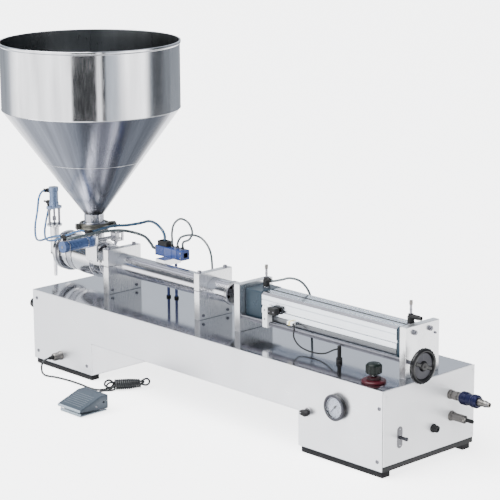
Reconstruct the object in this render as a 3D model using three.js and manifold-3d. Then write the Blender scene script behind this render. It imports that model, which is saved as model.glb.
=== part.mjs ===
// Bench-top piston liquid filler: a bridge-shaped stainless housing carries a product cylinder driven by a
// square-profile air cylinder, a rotary valve under a conical hopper, a hanging nozzle and a foot switch.
// Millimetres, +X along the machine towards the handwheel, +Y to the back, +Z up.
import * as THREE from 'three';
import Module from 'manifold-3d';
import { mergeVertices } from 'three/addons/utils/BufferGeometryUtils.js';

const wasm = await Module();
wasm.setup();

// ---- driving sizes ------------------------------------------------------------------------------
// The machine frame starts at the lower front corner of the housing's handwheel end, so x runs from 0
// down to -housing.length at the nozzle end.
const GAP = 0.3;
const FLOOR_Z = -16;
const housing = { length: 1350, depth: 326, height: 200, sheet: 2.5, rightLeg: 285, leftLeg: 260, beamZ: 90 };
const DECK_Z = housing.height + GAP;
const AXIS_Y = 168;
const AXIS_Z = 279;
const plate = { thick: 20, frontY: 111, backY: 231, topZ: 327 };
const plateX = { clamp1: -1166, clamp2: -788, cylinder: -632, end: -54 };
const barrel = { outer: 30, inner: 27.5, left: -1196, right: -690 };
const valve = { left: -1386, right: -1172, inletX: -1274, leverX: -1212, neckRadius: 46, flangeRadius: 57 };
const lever = { leanDeg: 30, pinReach: 68, radius: 5, pinRadius: 4 };
const ferrule = { radius: 35, tube: 28, bore: 25.5, jointZ: 369 };
const hopper = { radius: 250, rim: 252.7, wall: 2.5, coneBottomZ: 405, coneTopZ: 707.7, topZ: 895.5 };
const nozzle = { x: -1458, tipZ: 190, blockBottomZ: 262, blockTopZ: 345, bore: 3.6 };
const actuator = { z: 343, bodyFront: 4, bodyBack: 104, noseBack: 115, rod: 5 };
const air = { side: 75, frontCapEnd: -549, barrelEnd: -82.3, bore: 31.8, rod: 10 };
const screw = { y: 122, z: 241, radius: 5 };
const manifoldBlock = { left: -1047, right: -935, front: 198, back: 228, bottom: 318, top: 346 };
const pedal = { left: -953, right: -858, front: -228, back: -132, backTop: 30, frontTop: 5 };
const CORD_RADIUS = 2.75;

// ---- materials ----------------------------------------------------------------------------------
const finishes = {
  brushed: { color: 0xc9cbd6, roughness: 0.35, metalness: 0.9 },
  polished: { color: 0xd6d8de, roughness: 0.15, metalness: 1.0 },
  satin: { color: 0xe4e6ea, roughness: 0.3, metalness: 0.8 },
  blackRubber: { color: 0x1b1c20, roughness: 0.8, metalness: 0.0 },
  blackPlastic: { color: 0x16181c, roughness: 0.4, metalness: 0.0 },
  blueBlack: { color: 0x24323f, roughness: 0.35, metalness: 0.5 },
  anodised: { color: 0xc3cbdc, roughness: 0.3, metalness: 0.8 },
  blueBlock: { color: 0x33529a, roughness: 0.4, metalness: 0.2 },
  blueGrey: { color: 0x7f9cc0, roughness: 0.35, metalness: 0.5 },
  blueTube: { color: 0x4c74a8, roughness: 0.35, metalness: 0.0 },
  tealTube: { color: 0x48606e, roughness: 0.4, metalness: 0.0 },
  greyTube: { color: 0x7d8288, roughness: 0.5, metalness: 0.0 },
  white: { color: 0xf2f3f4, roughness: 0.5, metalness: 0.0 },
  red: { color: 0xa01824, roughness: 0.4, metalness: 0.0 },
  darkGreen: { color: 0x1d2a2a, roughness: 0.4, metalness: 0.0 },
  steel: { color: 0xaeb1b5, roughness: 0.3, metalness: 1.0 },
  navy: { color: 0x262c5c, roughness: 0.4, metalness: 0.1 },
  pedalBlue: { color: 0x6a7c93, roughness: 0.5, metalness: 0.0 },
  seal: { color: 0x30343a, roughness: 0.6, metalness: 0.0 },
};

// ---- solid helpers ------------------------------------------------------------------------------
function signedVolume(positions, triangles) {
  const a = new THREE.Vector3();
  const b = new THREE.Vector3();
  const c = new THREE.Vector3();
  let volume = 0;
  for (let i = 0; i < triangles.length; i += 3) {
    a.fromArray(positions, triangles[i] * 3);
    b.fromArray(positions, triangles[i + 1] * 3);
    c.fromArray(positions, triangles[i + 2] * 3);
    volume += a.dot(b.cross(c)) / 6;
  }
  return volume;
}

function toSolid(geometry) {
  geometry.deleteAttribute('normal');
  geometry.deleteAttribute('uv');
  const merged = mergeVertices(geometry, 1e-4);
  const positions = merged.attributes.position.array;
  const index = merged.index.array;
  const triangles = [];
  for (let i = 0; i < index.length; i += 3) {
    const [a, b, c] = [index[i], index[i + 1], index[i + 2]];
    if (a !== b && b !== c && c !== a) triangles.push(a, b, c);
  }
  if (signedVolume(positions, triangles) < 0) {
    for (let i = 0; i < triangles.length; i += 3) {
      [triangles[i + 1], triangles[i + 2]] = [triangles[i + 2], triangles[i + 1]];
    }
  }
  const vertProperties = Float32Array.from(positions);
  return new wasm.Manifold(new wasm.Mesh({ numProp: 3, vertProperties, triVerts: Uint32Array.from(triangles) }));
}

function toGeometry(solid) {
  const mesh = solid.getMesh();
  const geometry = new THREE.BufferGeometry();
  geometry.setAttribute('position', new THREE.BufferAttribute(mesh.vertProperties, 3));
  geometry.setIndex(new THREE.BufferAttribute(mesh.triVerts, 1));
  geometry.computeVertexNormals();
  return geometry;
}

function box(x0, x1, y0, y1, z0, z1) {
  const geometry = new THREE.BoxGeometry(x1 - x0, y1 - y0, z1 - z0);
  geometry.translate((x0 + x1) / 2, (y0 + y1) / 2, (z0 + z1) / 2);
  return toSolid(geometry);
}

// Turns a geometry built along three.js' own +Y so that it points along the named axis.
function pointAlong(geometry, axis) {
  if (axis === 'x') geometry.rotateZ(-Math.PI / 2);
  if (axis === 'z') geometry.rotateX(Math.PI / 2);
  return geometry;
}

// A cylinder from one coordinate to another along an axis; at gives the other two coordinates in order.
function cylinder(axis, radius, from, to, at = [0, 0], sides = 22) {
  const geometry = pointAlong(new THREE.CylinderGeometry(radius, radius, to - from, sides), axis);
  const middle = (from + to) / 2;
  if (axis === 'x') geometry.translate(middle, at[0], at[1]);
  if (axis === 'y') geometry.translate(at[0], middle, at[1]);
  if (axis === 'z') geometry.translate(at[0], at[1], middle);
  return toSolid(geometry);
}

// A solid of revolution. The profile is a list of [radius, distance along the axis].
function turned(axis, profile, sides = 28) {
  const points = profile.map(([r, h]) => new THREE.Vector2(r, h));
  return toSolid(pointAlong(new THREE.LatheGeometry(points, sides), axis));
}

// An outline in the XZ plane, given depth along +Y from y0 to y1.
function slabXZ(outline, y0, y1) {
  const shape = new THREE.Shape(outline.map(([x, z]) => new THREE.Vector2(x, z)));
  const geometry = new THREE.ExtrudeGeometry(shape, { depth: y1 - y0, bevelEnabled: false });
  geometry.rotateX(Math.PI / 2);
  geometry.translate(0, y1, 0);
  return toSolid(geometry);
}

// An outline in the YZ plane, given depth along +X from x0 to x1.
function slabYZ(outline, x0, x1) {
  const shape = new THREE.Shape(outline.map(([y, z]) => new THREE.Vector2(y, z)));
  const geometry = new THREE.ExtrudeGeometry(shape, { depth: x1 - x0, bevelEnabled: false });
  geometry.rotateX(Math.PI / 2);
  geometry.rotateZ(Math.PI / 2);
  geometry.translate(x0, 0, 0);
  return toSolid(geometry);
}

// A round hose or cable through the given points.
function hose(points, radius, steps, sides = 8) {
  const curve = new THREE.CatmullRomCurve3(points.map((p) => new THREE.Vector3(...p)), false, 'centripetal');
  const ring = [];
  for (let i = 0; i < sides; i += 1) {
    const angle = (i / sides) * 2 * Math.PI;
    ring.push(new THREE.Vector2(radius * Math.cos(angle), radius * Math.sin(angle)));
  }
  const options = { steps, bevelEnabled: false, extrudePath: curve };
  return toSolid(new THREE.ExtrudeGeometry(new THREE.Shape(ring), options));
}

function joined(first, ...others) {
  return others.reduce((sum, solid) => sum.add(solid), first);
}

function cut(first, ...tools) {
  return tools.reduce((rest, tool) => rest.subtract(tool), first);
}

function addPart(parent, name, solid, finish, position = [0, 0, 0]) {
  const mesh = new THREE.Mesh(toGeometry(solid), new THREE.MeshStandardMaterial(finish));
  mesh.name = name;
  mesh.position.set(...position);
  parent.add(mesh);
  return mesh;
}

function groupAt(parent, x, y, z) {
  const group = new THREE.Group();
  group.position.set(x, y, z);
  parent.add(group);
  return group;
}

const machine = new THREE.Group();

// ---- housing ------------------------------------------------------------------------------------
function buildHousing(parent) {
  const { length, depth, height, sheet, rightLeg, leftLeg, beamZ } = housing;
  const coverThick = 3;
  const sillZ = 14.5;
  const endX = -coverThick - GAP;
  const legX = -length + leftLeg;
  const outline = [
    [-length, 0], [legX, 0], [legX, beamZ], [-rightLeg, beamZ], [-rightLeg, 0], [endX, 0], [endX, height],
    [-length, height],
  ];
  const inside = [
    [-length + sheet, sheet], [legX - sheet, sheet], [legX - sheet, beamZ + sheet],
    [-rightLeg + sheet, beamZ + sheet], [-rightLeg + sheet, sheet], [endX - coverThick, sheet],
    [endX - coverThick, sillZ], [1, sillZ], [1, height - sheet], [-length + sheet, height - sheet],
  ];
  addPart(parent, 'housing_shell', cut(slabXZ(outline, 0, depth), slabXZ(inside, sheet, depth - sheet)),
    finishes.brushed);
  addPart(parent, 'end_cover', box(-coverThick, 0, 0, depth, sillZ, height), finishes.satin);
  const rail = { width: 28, inset: 4, endInset: 8 };
  const legs = { right: [-rightLeg + rail.endInset, -rail.endInset], left: [-length + rail.endInset, legX - rail.endInset] };
  for (const [side, [x0, x1]] of Object.entries(legs)) {
    const frontY = rail.inset;
    const backY = depth - rail.inset - rail.width;
    for (const [row, y] of [['front', frontY], ['rear', backY]]) {
      addPart(parent, `rail_${row}_${side}`, box(x0, x1, y, y + rail.width, FLOOR_Z, -GAP), finishes.blackRubber);
    }
  }
}

// ---- upright plates -----------------------------------------------------------------------------
const plateFront = plate.frontY - AXIS_Y;
const plateBack = plate.backY - AXIS_Y;
const plateFoot = DECK_Z - AXIS_Z;
const plateTop = plate.topZ - AXIS_Z;

function buildClamp(parent, number, x) {
  const arm = { length: 31, halfWidth: 34, top: -24 };
  const bore = cylinder('x', barrel.outer + GAP, -arm.length - 1, plate.thick + 1, [0, 0], 28);
  const halfGap = 0.5;
  let lower = box(0, plate.thick, plateFront, plateBack, plateFoot, -halfGap);
  if (number === 1) {
    const ledge = box(-arm.length, 1, -arm.halfWidth, arm.halfWidth, plateFoot, arm.top);
    const saddle = cylinder('x', 41 + GAP, -arm.length - 1, valve.right - x + GAP, [0, 0], 28);
    lower = joined(lower, cut(ledge, saddle));
  }
  const upper = box(0, plate.thick, plateFront, plateBack, halfGap, plateTop);
  addPart(parent, `clamp_${number}_lower`, cut(lower, bore), finishes.satin, [x, 0, 0]);
  addPart(parent, `clamp_${number}_upper`, cut(upper, bore), finishes.satin, [x, 0, 0]);
}

function buildCylinderPlates(parent) {
  const screwAt = [screw.y - AXIS_Y, screw.z - AXIS_Z];
  const screwHole = cylinder('x', screw.radius + GAP, -1, plate.thick + 1, screwAt, 24);
  const blank = box(0, plate.thick, plateFront, plateBack, plateFoot, plateTop);
  const rodHole = cylinder('x', air.rod + 2.3, -1, plate.thick + 1, [0, 0], 22);
  addPart(parent, 'cylinder_plate', cut(blank, rodHole, screwHole), finishes.satin, [plateX.cylinder, 0, 0]);
  addPart(parent, 'end_plate', cut(blank, screwHole), finishes.satin, [plateX.end, 0, 0]);
}

// ---- product cylinder, piston and rod ------------------------------------------------------------
function buildProductCylinder(parent) {
  const { outer, inner, left, right } = barrel;
  const collar = { length: 10, radius: 32.5 };
  const profile = [
    [inner, left], [outer, left], [outer, right - collar.length], [collar.radius, right - collar.length],
    [collar.radius, right], [inner, right], [inner, left],
  ];
  addPart(parent, 'product_barrel', turned('x', profile, 28), finishes.polished);
  const piston = { left: -1175, length: 36, radius: 27.2, groove: 2 };
  const grooveStart = 15;
  const grooveEnd = 19;
  const crown = [
    [0, 0], [piston.radius, 0], [piston.radius, grooveStart], [piston.radius - piston.groove, grooveStart],
    [piston.radius - piston.groove, grooveEnd], [piston.radius, grooveEnd], [piston.radius, piston.length],
    [0, piston.length],
  ];
  addPart(parent, 'product_piston', turned('x', crown, 28), finishes.seal, [piston.left, 0, 0]);
  const rodStart = piston.left + piston.length + GAP;
  const disc = { left: -543, right: -523, radius: 31.5 };
  const rod = joined(
    cylinder('x', air.rod, rodStart, disc.right + 8, [0, 0], 18),
    cylinder('x', disc.radius, disc.left, disc.right, [0, 0], 28),
  );
  addPart(parent, 'piston_rod', rod, finishes.steel);
}

// ---- rotary valve -------------------------------------------------------------------------------
function leverSlot() {
  const slotHalfDeg = lever.leanDeg + 16;
  const slotHalfWidth = 7;
  const outline = [[0, 0]];
  const arcSteps = 6;
  for (let i = 0; i <= arcSteps; i += 1) {
    const angle = THREE.MathUtils.degToRad(90 - slotHalfDeg + (i / arcSteps) * 2 * slotHalfDeg);
    outline.push([70 * Math.cos(angle), 70 * Math.sin(angle)]);
  }
  return slabYZ(outline, valve.leverX - slotHalfWidth, valve.leverX + slotHalfWidth);
}

function buildValve(parent) {
  const { left, right, inletX, leverX, neckRadius, flangeRadius } = valve;
  const profile = [
    [0, left], [flangeRadius, left], [flangeRadius, left + 14], [50, left + 14], [50, left + 84], [53, left + 84],
    [53, leverX - 24], [neckRadius, leverX - 24], [neckRadius, leverX + 14], [41, leverX + 14], [41, right], [0, right],
  ];
  const jointZ = ferrule.jointZ - AXIS_Z - GAP / 2;
  const neck = joined(
    cylinder('z', ferrule.tube, 0, jointZ, [inletX, 0], 28),
    cylinder('z', ferrule.radius, jointZ - 7, jointZ, [inletX, 0], 28),
  );
  const rodZ = actuator.z - AXIS_Z;
  const bracket = joined(
    box(leverX - 24, leverX + 24, -64 + GAP, -56, 8, rodZ + 20),
    box(leverX - 22, leverX + 12, -57, -38, 8, 30),
  );
  const body = cut(
    joined(turned('x', profile, 32), neck, bracket),
    cylinder('x', 30 + GAP, left - 1, right + 1, [0, 0], 28),
    cylinder('z', ferrule.bore, 0, jointZ + 1, [inletX, 0], 22),
    cylinder('y', 8 + GAP, -66, -54, [leverX, rodZ], 16),
    leverSlot(),
  );
  addPart(parent, 'valve_body', body, finishes.polished);
  addPart(parent, 'valve_rotor', buildRotor(), finishes.steel);
}

function buildRotor() {
  const { inletX, leverX } = valve;
  const lean = THREE.MathUtils.degToRad(lever.leanDeg);
  const arm = new THREE.CylinderGeometry(lever.radius, lever.radius, 48, 14);
  arm.translate(0, 24 + 24, 0);
  arm.rotateX(Math.PI / 2);
  arm.rotateX(-lean);
  arm.translate(leverX, 0, 0);
  const pinAt = [lever.pinReach * Math.sin(lean), lever.pinReach * Math.cos(lean)];
  return cut(
    joined(
      cylinder('x', 30, -1300, -1202, [0, 0], 28),
      toSolid(arm),
      cylinder('x', lever.pinRadius, leverX - 11, leverX + 11, pinAt, 20),
    ),
    cylinder('x', 19, inletX - 12, leverX - 12, [0, 0], 16),
    cylinder('z', 17, 0, 40, [inletX, 0], 16),
  );
}

function buildActuator(parent) {
  const { z, bodyFront, bodyBack, noseBack, rod } = actuator;
  const x = valve.leverX;
  const capLength = 14;
  const portY = [bodyFront + 8, bodyBack - 7];
  const bodyProfile = [
    [0, bodyFront], [16.5, bodyFront], [16.5, bodyFront + capLength], [14.8, bodyFront + capLength],
    [14.8, bodyBack - capLength], [16.5, bodyBack - capLength], [16.5, bodyBack], [8, bodyBack], [8, noseBack],
    [0, noseBack],
  ];
  let body = turned('y', bodyProfile, 22);
  const fittingZ = 27;
  body = joined(
    body,
    cylinder('z', 5, 10, fittingZ + 5, [0, portY[0]], 12),
    cylinder('x', 5, -14, 14, [portY[0], fittingZ], 12),
    cylinder('z', 5, 10, fittingZ + 5, [0, portY[1]], 12),
    cylinder('x', 5, -14, 0, [portY[1], fittingZ], 12),
    cylinder('y', 5, portY[1], portY[1] + 13, [0, fittingZ], 12),
  );
  body = cut(
    body,
    cylinder('y', 10.3, bodyFront + 4, bodyBack - 10, [0, 0], 16),
    cylinder('y', rod + GAP, bodyBack - 11, noseBack + 1, [0, 0], 14),
  );
  addPart(parent, 'actuator_cylinder', body, finishes.blueGrey, [x, -AXIS_Y, z - AXIS_Z]);

  const lean = THREE.MathUtils.degToRad(lever.leanDeg);
  const pinY = AXIS_Y + lever.pinReach * Math.sin(lean);
  const fork = { front: pinY - 17, back: pinY + 13, halfWidth: 12, innerHalf: 7.3, bottom: -13, top: 13 };
  const forkBlock = cut(
    box(-fork.halfWidth, fork.halfWidth, fork.front, fork.back, fork.bottom, fork.top),
    box(-fork.innerHalf, fork.innerHalf, fork.front + 5, fork.back + 1, fork.bottom - 1, fork.top + 1),
    box(-20, 20, pinY - 6, pinY + 6, -10.5, 9.5),
  );
  const rodSolid = joined(
    forkBlock,
    cylinder('y', rod, 84, fork.front + 1, [0, 0], 14),
    cylinder('y', 10, 78, 86, [0, 0], 16),
  );
  addPart(parent, 'actuator_rod', rodSolid, finishes.steel, [x, -AXIS_Y, z - AXIS_Z]);
}

// ---- outlet pipe and nozzle ---------------------------------------------------------------------
function buildNozzle(parent) {
  const { x, tipZ, blockBottomZ, blockTopZ, bore } = nozzle;
  const tip = tipZ - AXIS_Z;
  const blockBottom = blockBottomZ - AXIS_Z;
  const blockTop = blockTopZ - AXIS_Z;
  const capX = valve.left - GAP;
  const pipe = cut(
    joined(
      cylinder('x', valve.flangeRadius, capX - 12, capX, [0, 0], 32),
      cylinder('x', 22, capX - 20, capX - 11, [0, 0], 22),
      cylinder('x', 13, x, capX - 11, [0, 0], 18),
      cylinder('z', 13, blockBottom, blockTop, [x, 0], 18),
      cylinder('z', 22, blockTop - 6, blockTop, [x, 0], 22),
      cylinder('z', 9, blockBottom - 10, blockBottom + 1, [x, 0], 16),
      cylinder('z', 5.6, tip, blockBottom, [x, 0], 14),
    ),
    cylinder('x', 9, x, capX + 1, [0, 0], 16),
    cylinder('z', 8.3, blockBottom + 2, blockTop + 1, [x, 0], 16),
    cylinder('z', bore, tip - 1, blockBottom + 3, [x, 0], 12),
  );
  addPart(parent, 'outlet_pipe', pipe, finishes.polished);

  const liftedTop = 140;
  const rodRadius = 3.1;
  const plunger = joined(
    cylinder('z', rodRadius, tip + 2, liftedTop, [0, 0], 12),
    cylinder('z', 8, blockTop - 14, blockTop - 4, [0, 0], 16),
    cylinder('z', 6, 76, 88, [0, 0], 6),
  );
  addPart(parent, 'nozzle_plunger', plunger, finishes.steel, [x, 0, 0]);

  const bodyBottom = 117;
  const bodyTop = 175;
  const standoffY = 17.5;
  const fittings = [161, 126];
  let lift = joined(
    cylinder('z', 14, bodyBottom, bodyTop, [0, 0], 22),
    box(-9, 9, -22, 22, bodyBottom - 6, bodyBottom + 2),
    cylinder('z', 3.6, blockTop + GAP, bodyBottom, [0, -standoffY], 12),
    cylinder('z', 3.6, blockTop + GAP, bodyBottom, [0, standoffY], 12),
  );
  for (const z of fittings) {
    lift = joined(
      lift,
      cylinder('x', 6.5, -32, -12, [0, z], 12),
      cylinder('x', 3, -46, -31, [0, z], 12),
    );
  }
  lift = joined(
    lift,
    cylinder('y', 5, -13, 0, [-26, fittings[0]], 10),
    cylinder('z', 5, fittings[1] - 13, fittings[1], [-26, 0], 10),
  );
  lift = cut(lift, cylinder('z', rodRadius + GAP, bodyBottom - 7, liftedTop + 24, [0, 0], 12));
  addPart(parent, 'nozzle_cylinder', lift, finishes.blueGrey, [x, 0, 0]);
}

// ---- hopper and its clamp -----------------------------------------------------------------------
function buildHopper(parent) {
  const { radius, rim, wall, coneBottomZ, coneTopZ, topZ } = hopper;
  const bottom = ferrule.jointZ + GAP / 2;
  const { tube, bore } = ferrule;
  const profile = [
    [bore, bottom], [ferrule.radius, bottom], [ferrule.radius, bottom + 7], [tube, bottom + 7], [tube, coneBottomZ],
    [radius, coneTopZ], [radius, topZ - 9], [rim, topZ - 7], [rim, topZ], [radius - wall, topZ],
    [radius - wall, coneTopZ + 1], [bore, coneBottomZ + 1], [bore, bottom],
  ];
  addPart(parent, 'hopper', turned('z', profile, 40), finishes.polished, [valve.inletX, AXIS_Y, 0]);
}

function buildNeckClamp(parent) {
  const group = groupAt(parent, valve.inletX, AXIS_Y, ferrule.jointZ);
  group.rotation.z = THREE.MathUtils.degToRad(65);
  const ringProfile = [
    [ferrule.radius + GAP, -10], [42.5, -10], [43, -6], [43, 6], [42.5, 10], [ferrule.radius + GAP, 10],
    [ferrule.radius + GAP, -10],
  ];
  const boltReach = 57;
  const clamp = joined(
    turned('z', ringProfile, 28),
    box(41, 63, -9, -1.5, -8, 8),
    box(41, 63, 1.5, 9, -8, 8),
    box(-54, -41, -8, 8, -8, 8),
    cylinder('y', 3, -26, 3, [boltReach, 0], 10),
  );
  addPart(group, 'neck_clamp', clamp, finishes.steel);
  const nut = cut(
    joined(
      cylinder('y', 6.5, -21, -10, [0, 0], 14),
      box(-15, 15, -21, -15, -2.5, 2.5),
    ),
    cylinder('y', 3 + GAP, -30, 0, [0, 0], 10),
  );
  addPart(group, 'wing_nut', nut, finishes.steel, [boltReach, 0, 0]);
}

// ---- air cylinder -------------------------------------------------------------------------------
function grooveOutline(side, slotHalf, slotDepth, chamfer) {
  const half = side / 2;
  const quarter = [
    [half, -half + chamfer], [half, -slotHalf], [half - slotDepth, -slotHalf], [half - slotDepth, slotHalf],
    [half, slotHalf], [half, half - chamfer],
  ];
  const outline = [];
  for (let turn = 0; turn < 4; turn += 1) {
    const cos = Math.round(Math.cos((turn * Math.PI) / 2));
    const sin = Math.round(Math.sin((turn * Math.PI) / 2));
    for (const [y, z] of quarter) outline.push([y * cos - z * sin, y * sin + z * cos]);
  }
  return outline;
}

function flowControl(x, reach) {
  return joined(
    cylinder('z', 9, air.side / 2 - 1, 60, [x, 0], 14),
    cylinder('z', 7, 59, 66, [x, 0], 12),
    cylinder('x', 6, x, x + reach, [0, 60], 12),
  );
}

function buildAirCylinder(parent) {
  const half = air.side / 2;
  const plateEnd = plateX.cylinder + plate.thick + GAP;
  const frontPortX = -570;
  const rearPortX = -70;
  const spindleZ = 66 + GAP;
  const frontCap = cut(
    joined(box(plateEnd, air.frontCapEnd - GAP, -half, half, -half, half), flowControl(frontPortX, 18)),
    cylinder('x', air.rod + GAP, plateEnd - 1, air.frontCapEnd + 1, [0, 0], 18),
  );
  addPart(parent, 'air_front_cap', frontCap, finishes.blueBlack);
  const tube = cut(
    slabYZ(grooveOutline(air.side - 1, 4, 3, 6), air.frontCapEnd, air.barrelEnd),
    cylinder('x', air.bore, air.frontCapEnd - 1, air.barrelEnd + 1, [0, 0], 28),
  );
  addPart(parent, 'air_barrel', tube, finishes.anodised);
  const rearCap = joined(
    box(air.barrelEnd + GAP, plateX.end - GAP, -half, half, -half, half),
    flowControl(rearPortX, 34),
  );
  addPart(parent, 'air_rear_cap', rearCap, finishes.blueBlack);
  const spindle = joined(cylinder('z', 3.2, 0, 24, [0, 0], 10), cylinder('z', 4.4, 22, 33, [0, 0], 12));
  addPart(parent, 'flow_spindle_front', spindle, finishes.steel, [frontPortX, 0, spindleZ]);
  addPart(parent, 'flow_spindle_rear', spindle, finishes.steel, [rearPortX, 0, spindleZ]);
}

// ---- stroke adjustment --------------------------------------------------------------------------
function buildStrokeAdjustment(parent) {
  const group = groupAt(parent, 0, screw.y, screw.z);
  const wheel = { back: 5, front: 18, radius: 43.5 };
  addPart(group, 'lead_screw', cylinder('x', screw.radius, plateX.cylinder - 4, wheel.back - GAP, [0, 0], 16),
    finishes.steel);
  const profile = [
    [0, 0], [14, 0], [16, 2], [30, 2], [33, -0], [40, 0], [43.5, 3.5], [43.5, 9.5], [40, 13], [35, 13], [32, 9],
    [12, 9], [10, 13], [0, 13],
  ];
  addPart(group, 'handwheel', turned('x', profile, 28), finishes.blackPlastic, [wheel.back, 0, 0]);
  const stop = cut(
    joined(box(-526, -508, -12, 7, -9, 47), box(-509, -482, -10, 6.5, 27, 46)),
    cylinder('x', screw.radius + GAP, -530, -500, [0, 0], 16),
  );
  addPart(group, 'stroke_block', stop, finishes.white);
}

// ---- pneumatic and electric lines ----------------------------------------------------------------
const loopPorts = [-990, -968, -947];

function buildManifold(parent) {
  const { left, right, front, back, bottom, top } = manifoldBlock;
  let block = joined(
    box(left, right, front, back, bottom, top),
    box(left + 8, left + 46, front + 3, back - 3, top - 1, top + 14),
    cut(
      box(left + 38, left + 76, AXIS_Y, back, AXIS_Z + 24, bottom + 1),
      cylinder('x', barrel.outer + GAP, left, right, [AXIS_Y, AXIS_Z], 28),
    ),
    cylinder('x', 6, left - 14, left + 1, [(front + back) / 2, (bottom + top) / 2], 12),
  );
  for (const x of loopPorts) block = joined(block, cylinder('z', 4.5, top - 1, top + 8, [x, 213], 10));
  for (const [x, y] of [[-1012, 216], [-986, 222]]) {
    block = joined(block, cylinder('z', 4, DECK_Z, bottom + 1, [x, y], 10));
  }
  addPart(parent, 'valve_manifold', block, finishes.blueBlock);
}

function buildHoses(parent) {
  const x = valve.leverX;
  const fittingZ = actuator.z + 27;
  const frontPort = actuator.bodyFront + 8;
  const backPort = actuator.bodyBack - 7;
  const fitX = nozzle.x - 26;
  const blockY = (manifoldBlock.front + manifoldBlock.back) / 2;
  const blockZ = (manifoldBlock.bottom + manifoldBlock.top) / 2;
  const top = manifoldBlock.top + 8 + GAP;
  const [tallStart, lowStart, tallEnd] = loopPorts;
  addPart(parent, 'hose_actuator_back', hose([
    [x, backPort + 13 + GAP, fittingZ], [x, 120, fittingZ], [x, 150, 373], [x, 190, 374], [-1198, 222, 373],
    [-1160, 238, 382], [-1105, 230, 398], [-1055, 216, 398], [-1028, 213, 384], [-1021, 213, 371],
    [-1021, 213, 366], [-1021, 213, manifoldBlock.top + 14 + GAP],
  ], 4, 20), finishes.tealTube);
  addPart(parent, 'hose_actuator_front', hose([
    [x + 14 + GAP, frontPort, fittingZ], [-1193, frontPort, fittingZ], [-1184, 22, 371], [-1180, 50, 373],
    [-1180, 120, 373], [-1181, 190, 366], [-1166, 226, 356], [-1125, 230, 350], [-1088, 220, 338],
    [-1070, blockY, blockZ], [manifoldBlock.left - 14 - GAP, blockY, blockZ],
  ], 4, 20), finishes.greyTube);
  addPart(parent, 'hose_nozzle_upper', hose([
    [fitX, AXIS_Y - 13 - GAP, AXIS_Z + 161], [fitX, 147, AXIS_Z + 161], [-1482, 134, 427], [-1472, 118, 388],
    [-1450, 92, 352], [-1400, 56, 332], [-1340, 24, 338], [-1280, 12, 358], [-1245, frontPort, 368],
    [-1234, frontPort, fittingZ], [x - 14 - GAP, frontPort, fittingZ],
  ], 3, 20), finishes.blueTube);
  addPart(parent, 'hose_nozzle_lower', hose([
    [fitX, AXIS_Y, AXIS_Z + 126 - 13 - GAP], [fitX, AXIS_Y, 386], [-1482, 162, 372], [-1470, 146, 352],
    [-1440, 118, 330], [-1395, 90, 320], [-1340, 78, 330], [-1290, 84, 352], [-1255, 95, 367],
    [-1240, backPort, fittingZ], [x - 14 - GAP, backPort, fittingZ],
  ], 3, 20), finishes.blueTube);
  addPart(parent, 'hose_loop_tall', hose([
    [tallStart, 213, top], [tallStart, 213, 362], [-991, 213, 385], [-982, 213, 412], [-955, 214, 431],
    [-922, 214, 424], [-908, 214, 400], [-922, 214, 378], [-942, 213, 369], [tallEnd, 213, 362], [tallEnd, 213, top],
  ], 3, 20), finishes.greyTube);
  addPart(parent, 'hose_loop_low', hose([
    [lowStart, 213, top], [lowStart, 213, 360], [-962, 218, 376], [-930, 226, 388], [-885, 227, 386],
    [-848, 224, 358], [-835, 220, 310], [-834, 220, 255], [-834, 220, DECK_Z],
  ], 3, 18), finishes.greyTube);
  addPart(parent, 'hose_cylinder_front', hose([
    [-552 + GAP, AXIS_Y, AXIS_Z + 60], [-545, AXIS_Y, AXIS_Z + 60], [-520, 174, 346], [-500, 184, 352],
    [-478, 200, 345], [-464, 216, 318], [-460, 224, 278], [-460, 224, DECK_Z],
  ], 3, 16), finishes.greyTube);
  const gland = { x: -246, y: 104, top: 236 };
  const lead = joined(
    hose([
      [-425, 122, 257], [-412, 112, 250], [-403, 102, 232], [-380, 98, 215], [-335, 97, 208], [-292, 99, 213],
      [-262, 102, 228], [gland.x, gland.y, 234],
    ], 2, 18),
    box(-446, -424, 119, 130, 252, 262),
    cylinder('z', 5, DECK_Z, gland.top + 6, [gland.x, gland.y], 12),
  );
  addPart(parent, 'sensor_cable', lead, finishes.seal);
}

// ---- controls on the deck and the faces ----------------------------------------------------------
function buildEmergencyStop(parent) {
  const group = groupAt(parent, -75, 45, DECK_Z);
  const base = cut(
    turned('z', [[0, 0], [30, 0], [30, 4], [28, 6], [16, 6], [16, 13], [0, 13]], 28),
    cylinder('z', 7.3, 1, 20, [0, 0], 16),
  );
  addPart(group, 'estop_base', base, finishes.red);
  addPart(group, 'estop_stem', cylinder('z', 7, 7, 25.5, [0, 0], 16), finishes.blackPlastic);
  const head = [
    [0, 26], [7.5, 26], [7.5, 20.5], [16, 20.5], [20, 25], [20, 38], [17.5, 43.5], [11, 47], [0, 48],
  ];
  addPart(group, 'estop_head', turned('z', head, 28), finishes.darkGreen);
}

function buildGauge(parent) {
  const group = groupAt(parent, -152, -GAP, 130);
  const caseProfile = [[0, 0], [30, 0], [33, -4], [33, -14], [29, -14], [29, -6], [0, -6]];
  addPart(group, 'gauge_case', turned('y', caseProfile, 28), finishes.blueBlack);
  const needle = joined(cylinder('y', 3, -9, -6.6, [0, 0], 12), box(-1, 1, -8.6, -7.6, -7, 23));
  const atZero = THREE.MathUtils.degToRad(-135);
  addPart(group, 'gauge_needle', needle, finishes.blackPlastic).rotation.y = atZero;
}

function buildFrontKnob(parent) {
  const knob = joined(
    cylinder('y', 8, -6, -GAP, [0, 0], 16),
    cylinder('y', 7, -18, -5, [-5, 1.5], 14),
    cylinder('y', 7, -18, -5, [5, -1.5], 14),
  );
  addPart(parent, 'selector_knob', knob, finishes.blackPlastic, [-253, 0, 93]);
}

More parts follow.
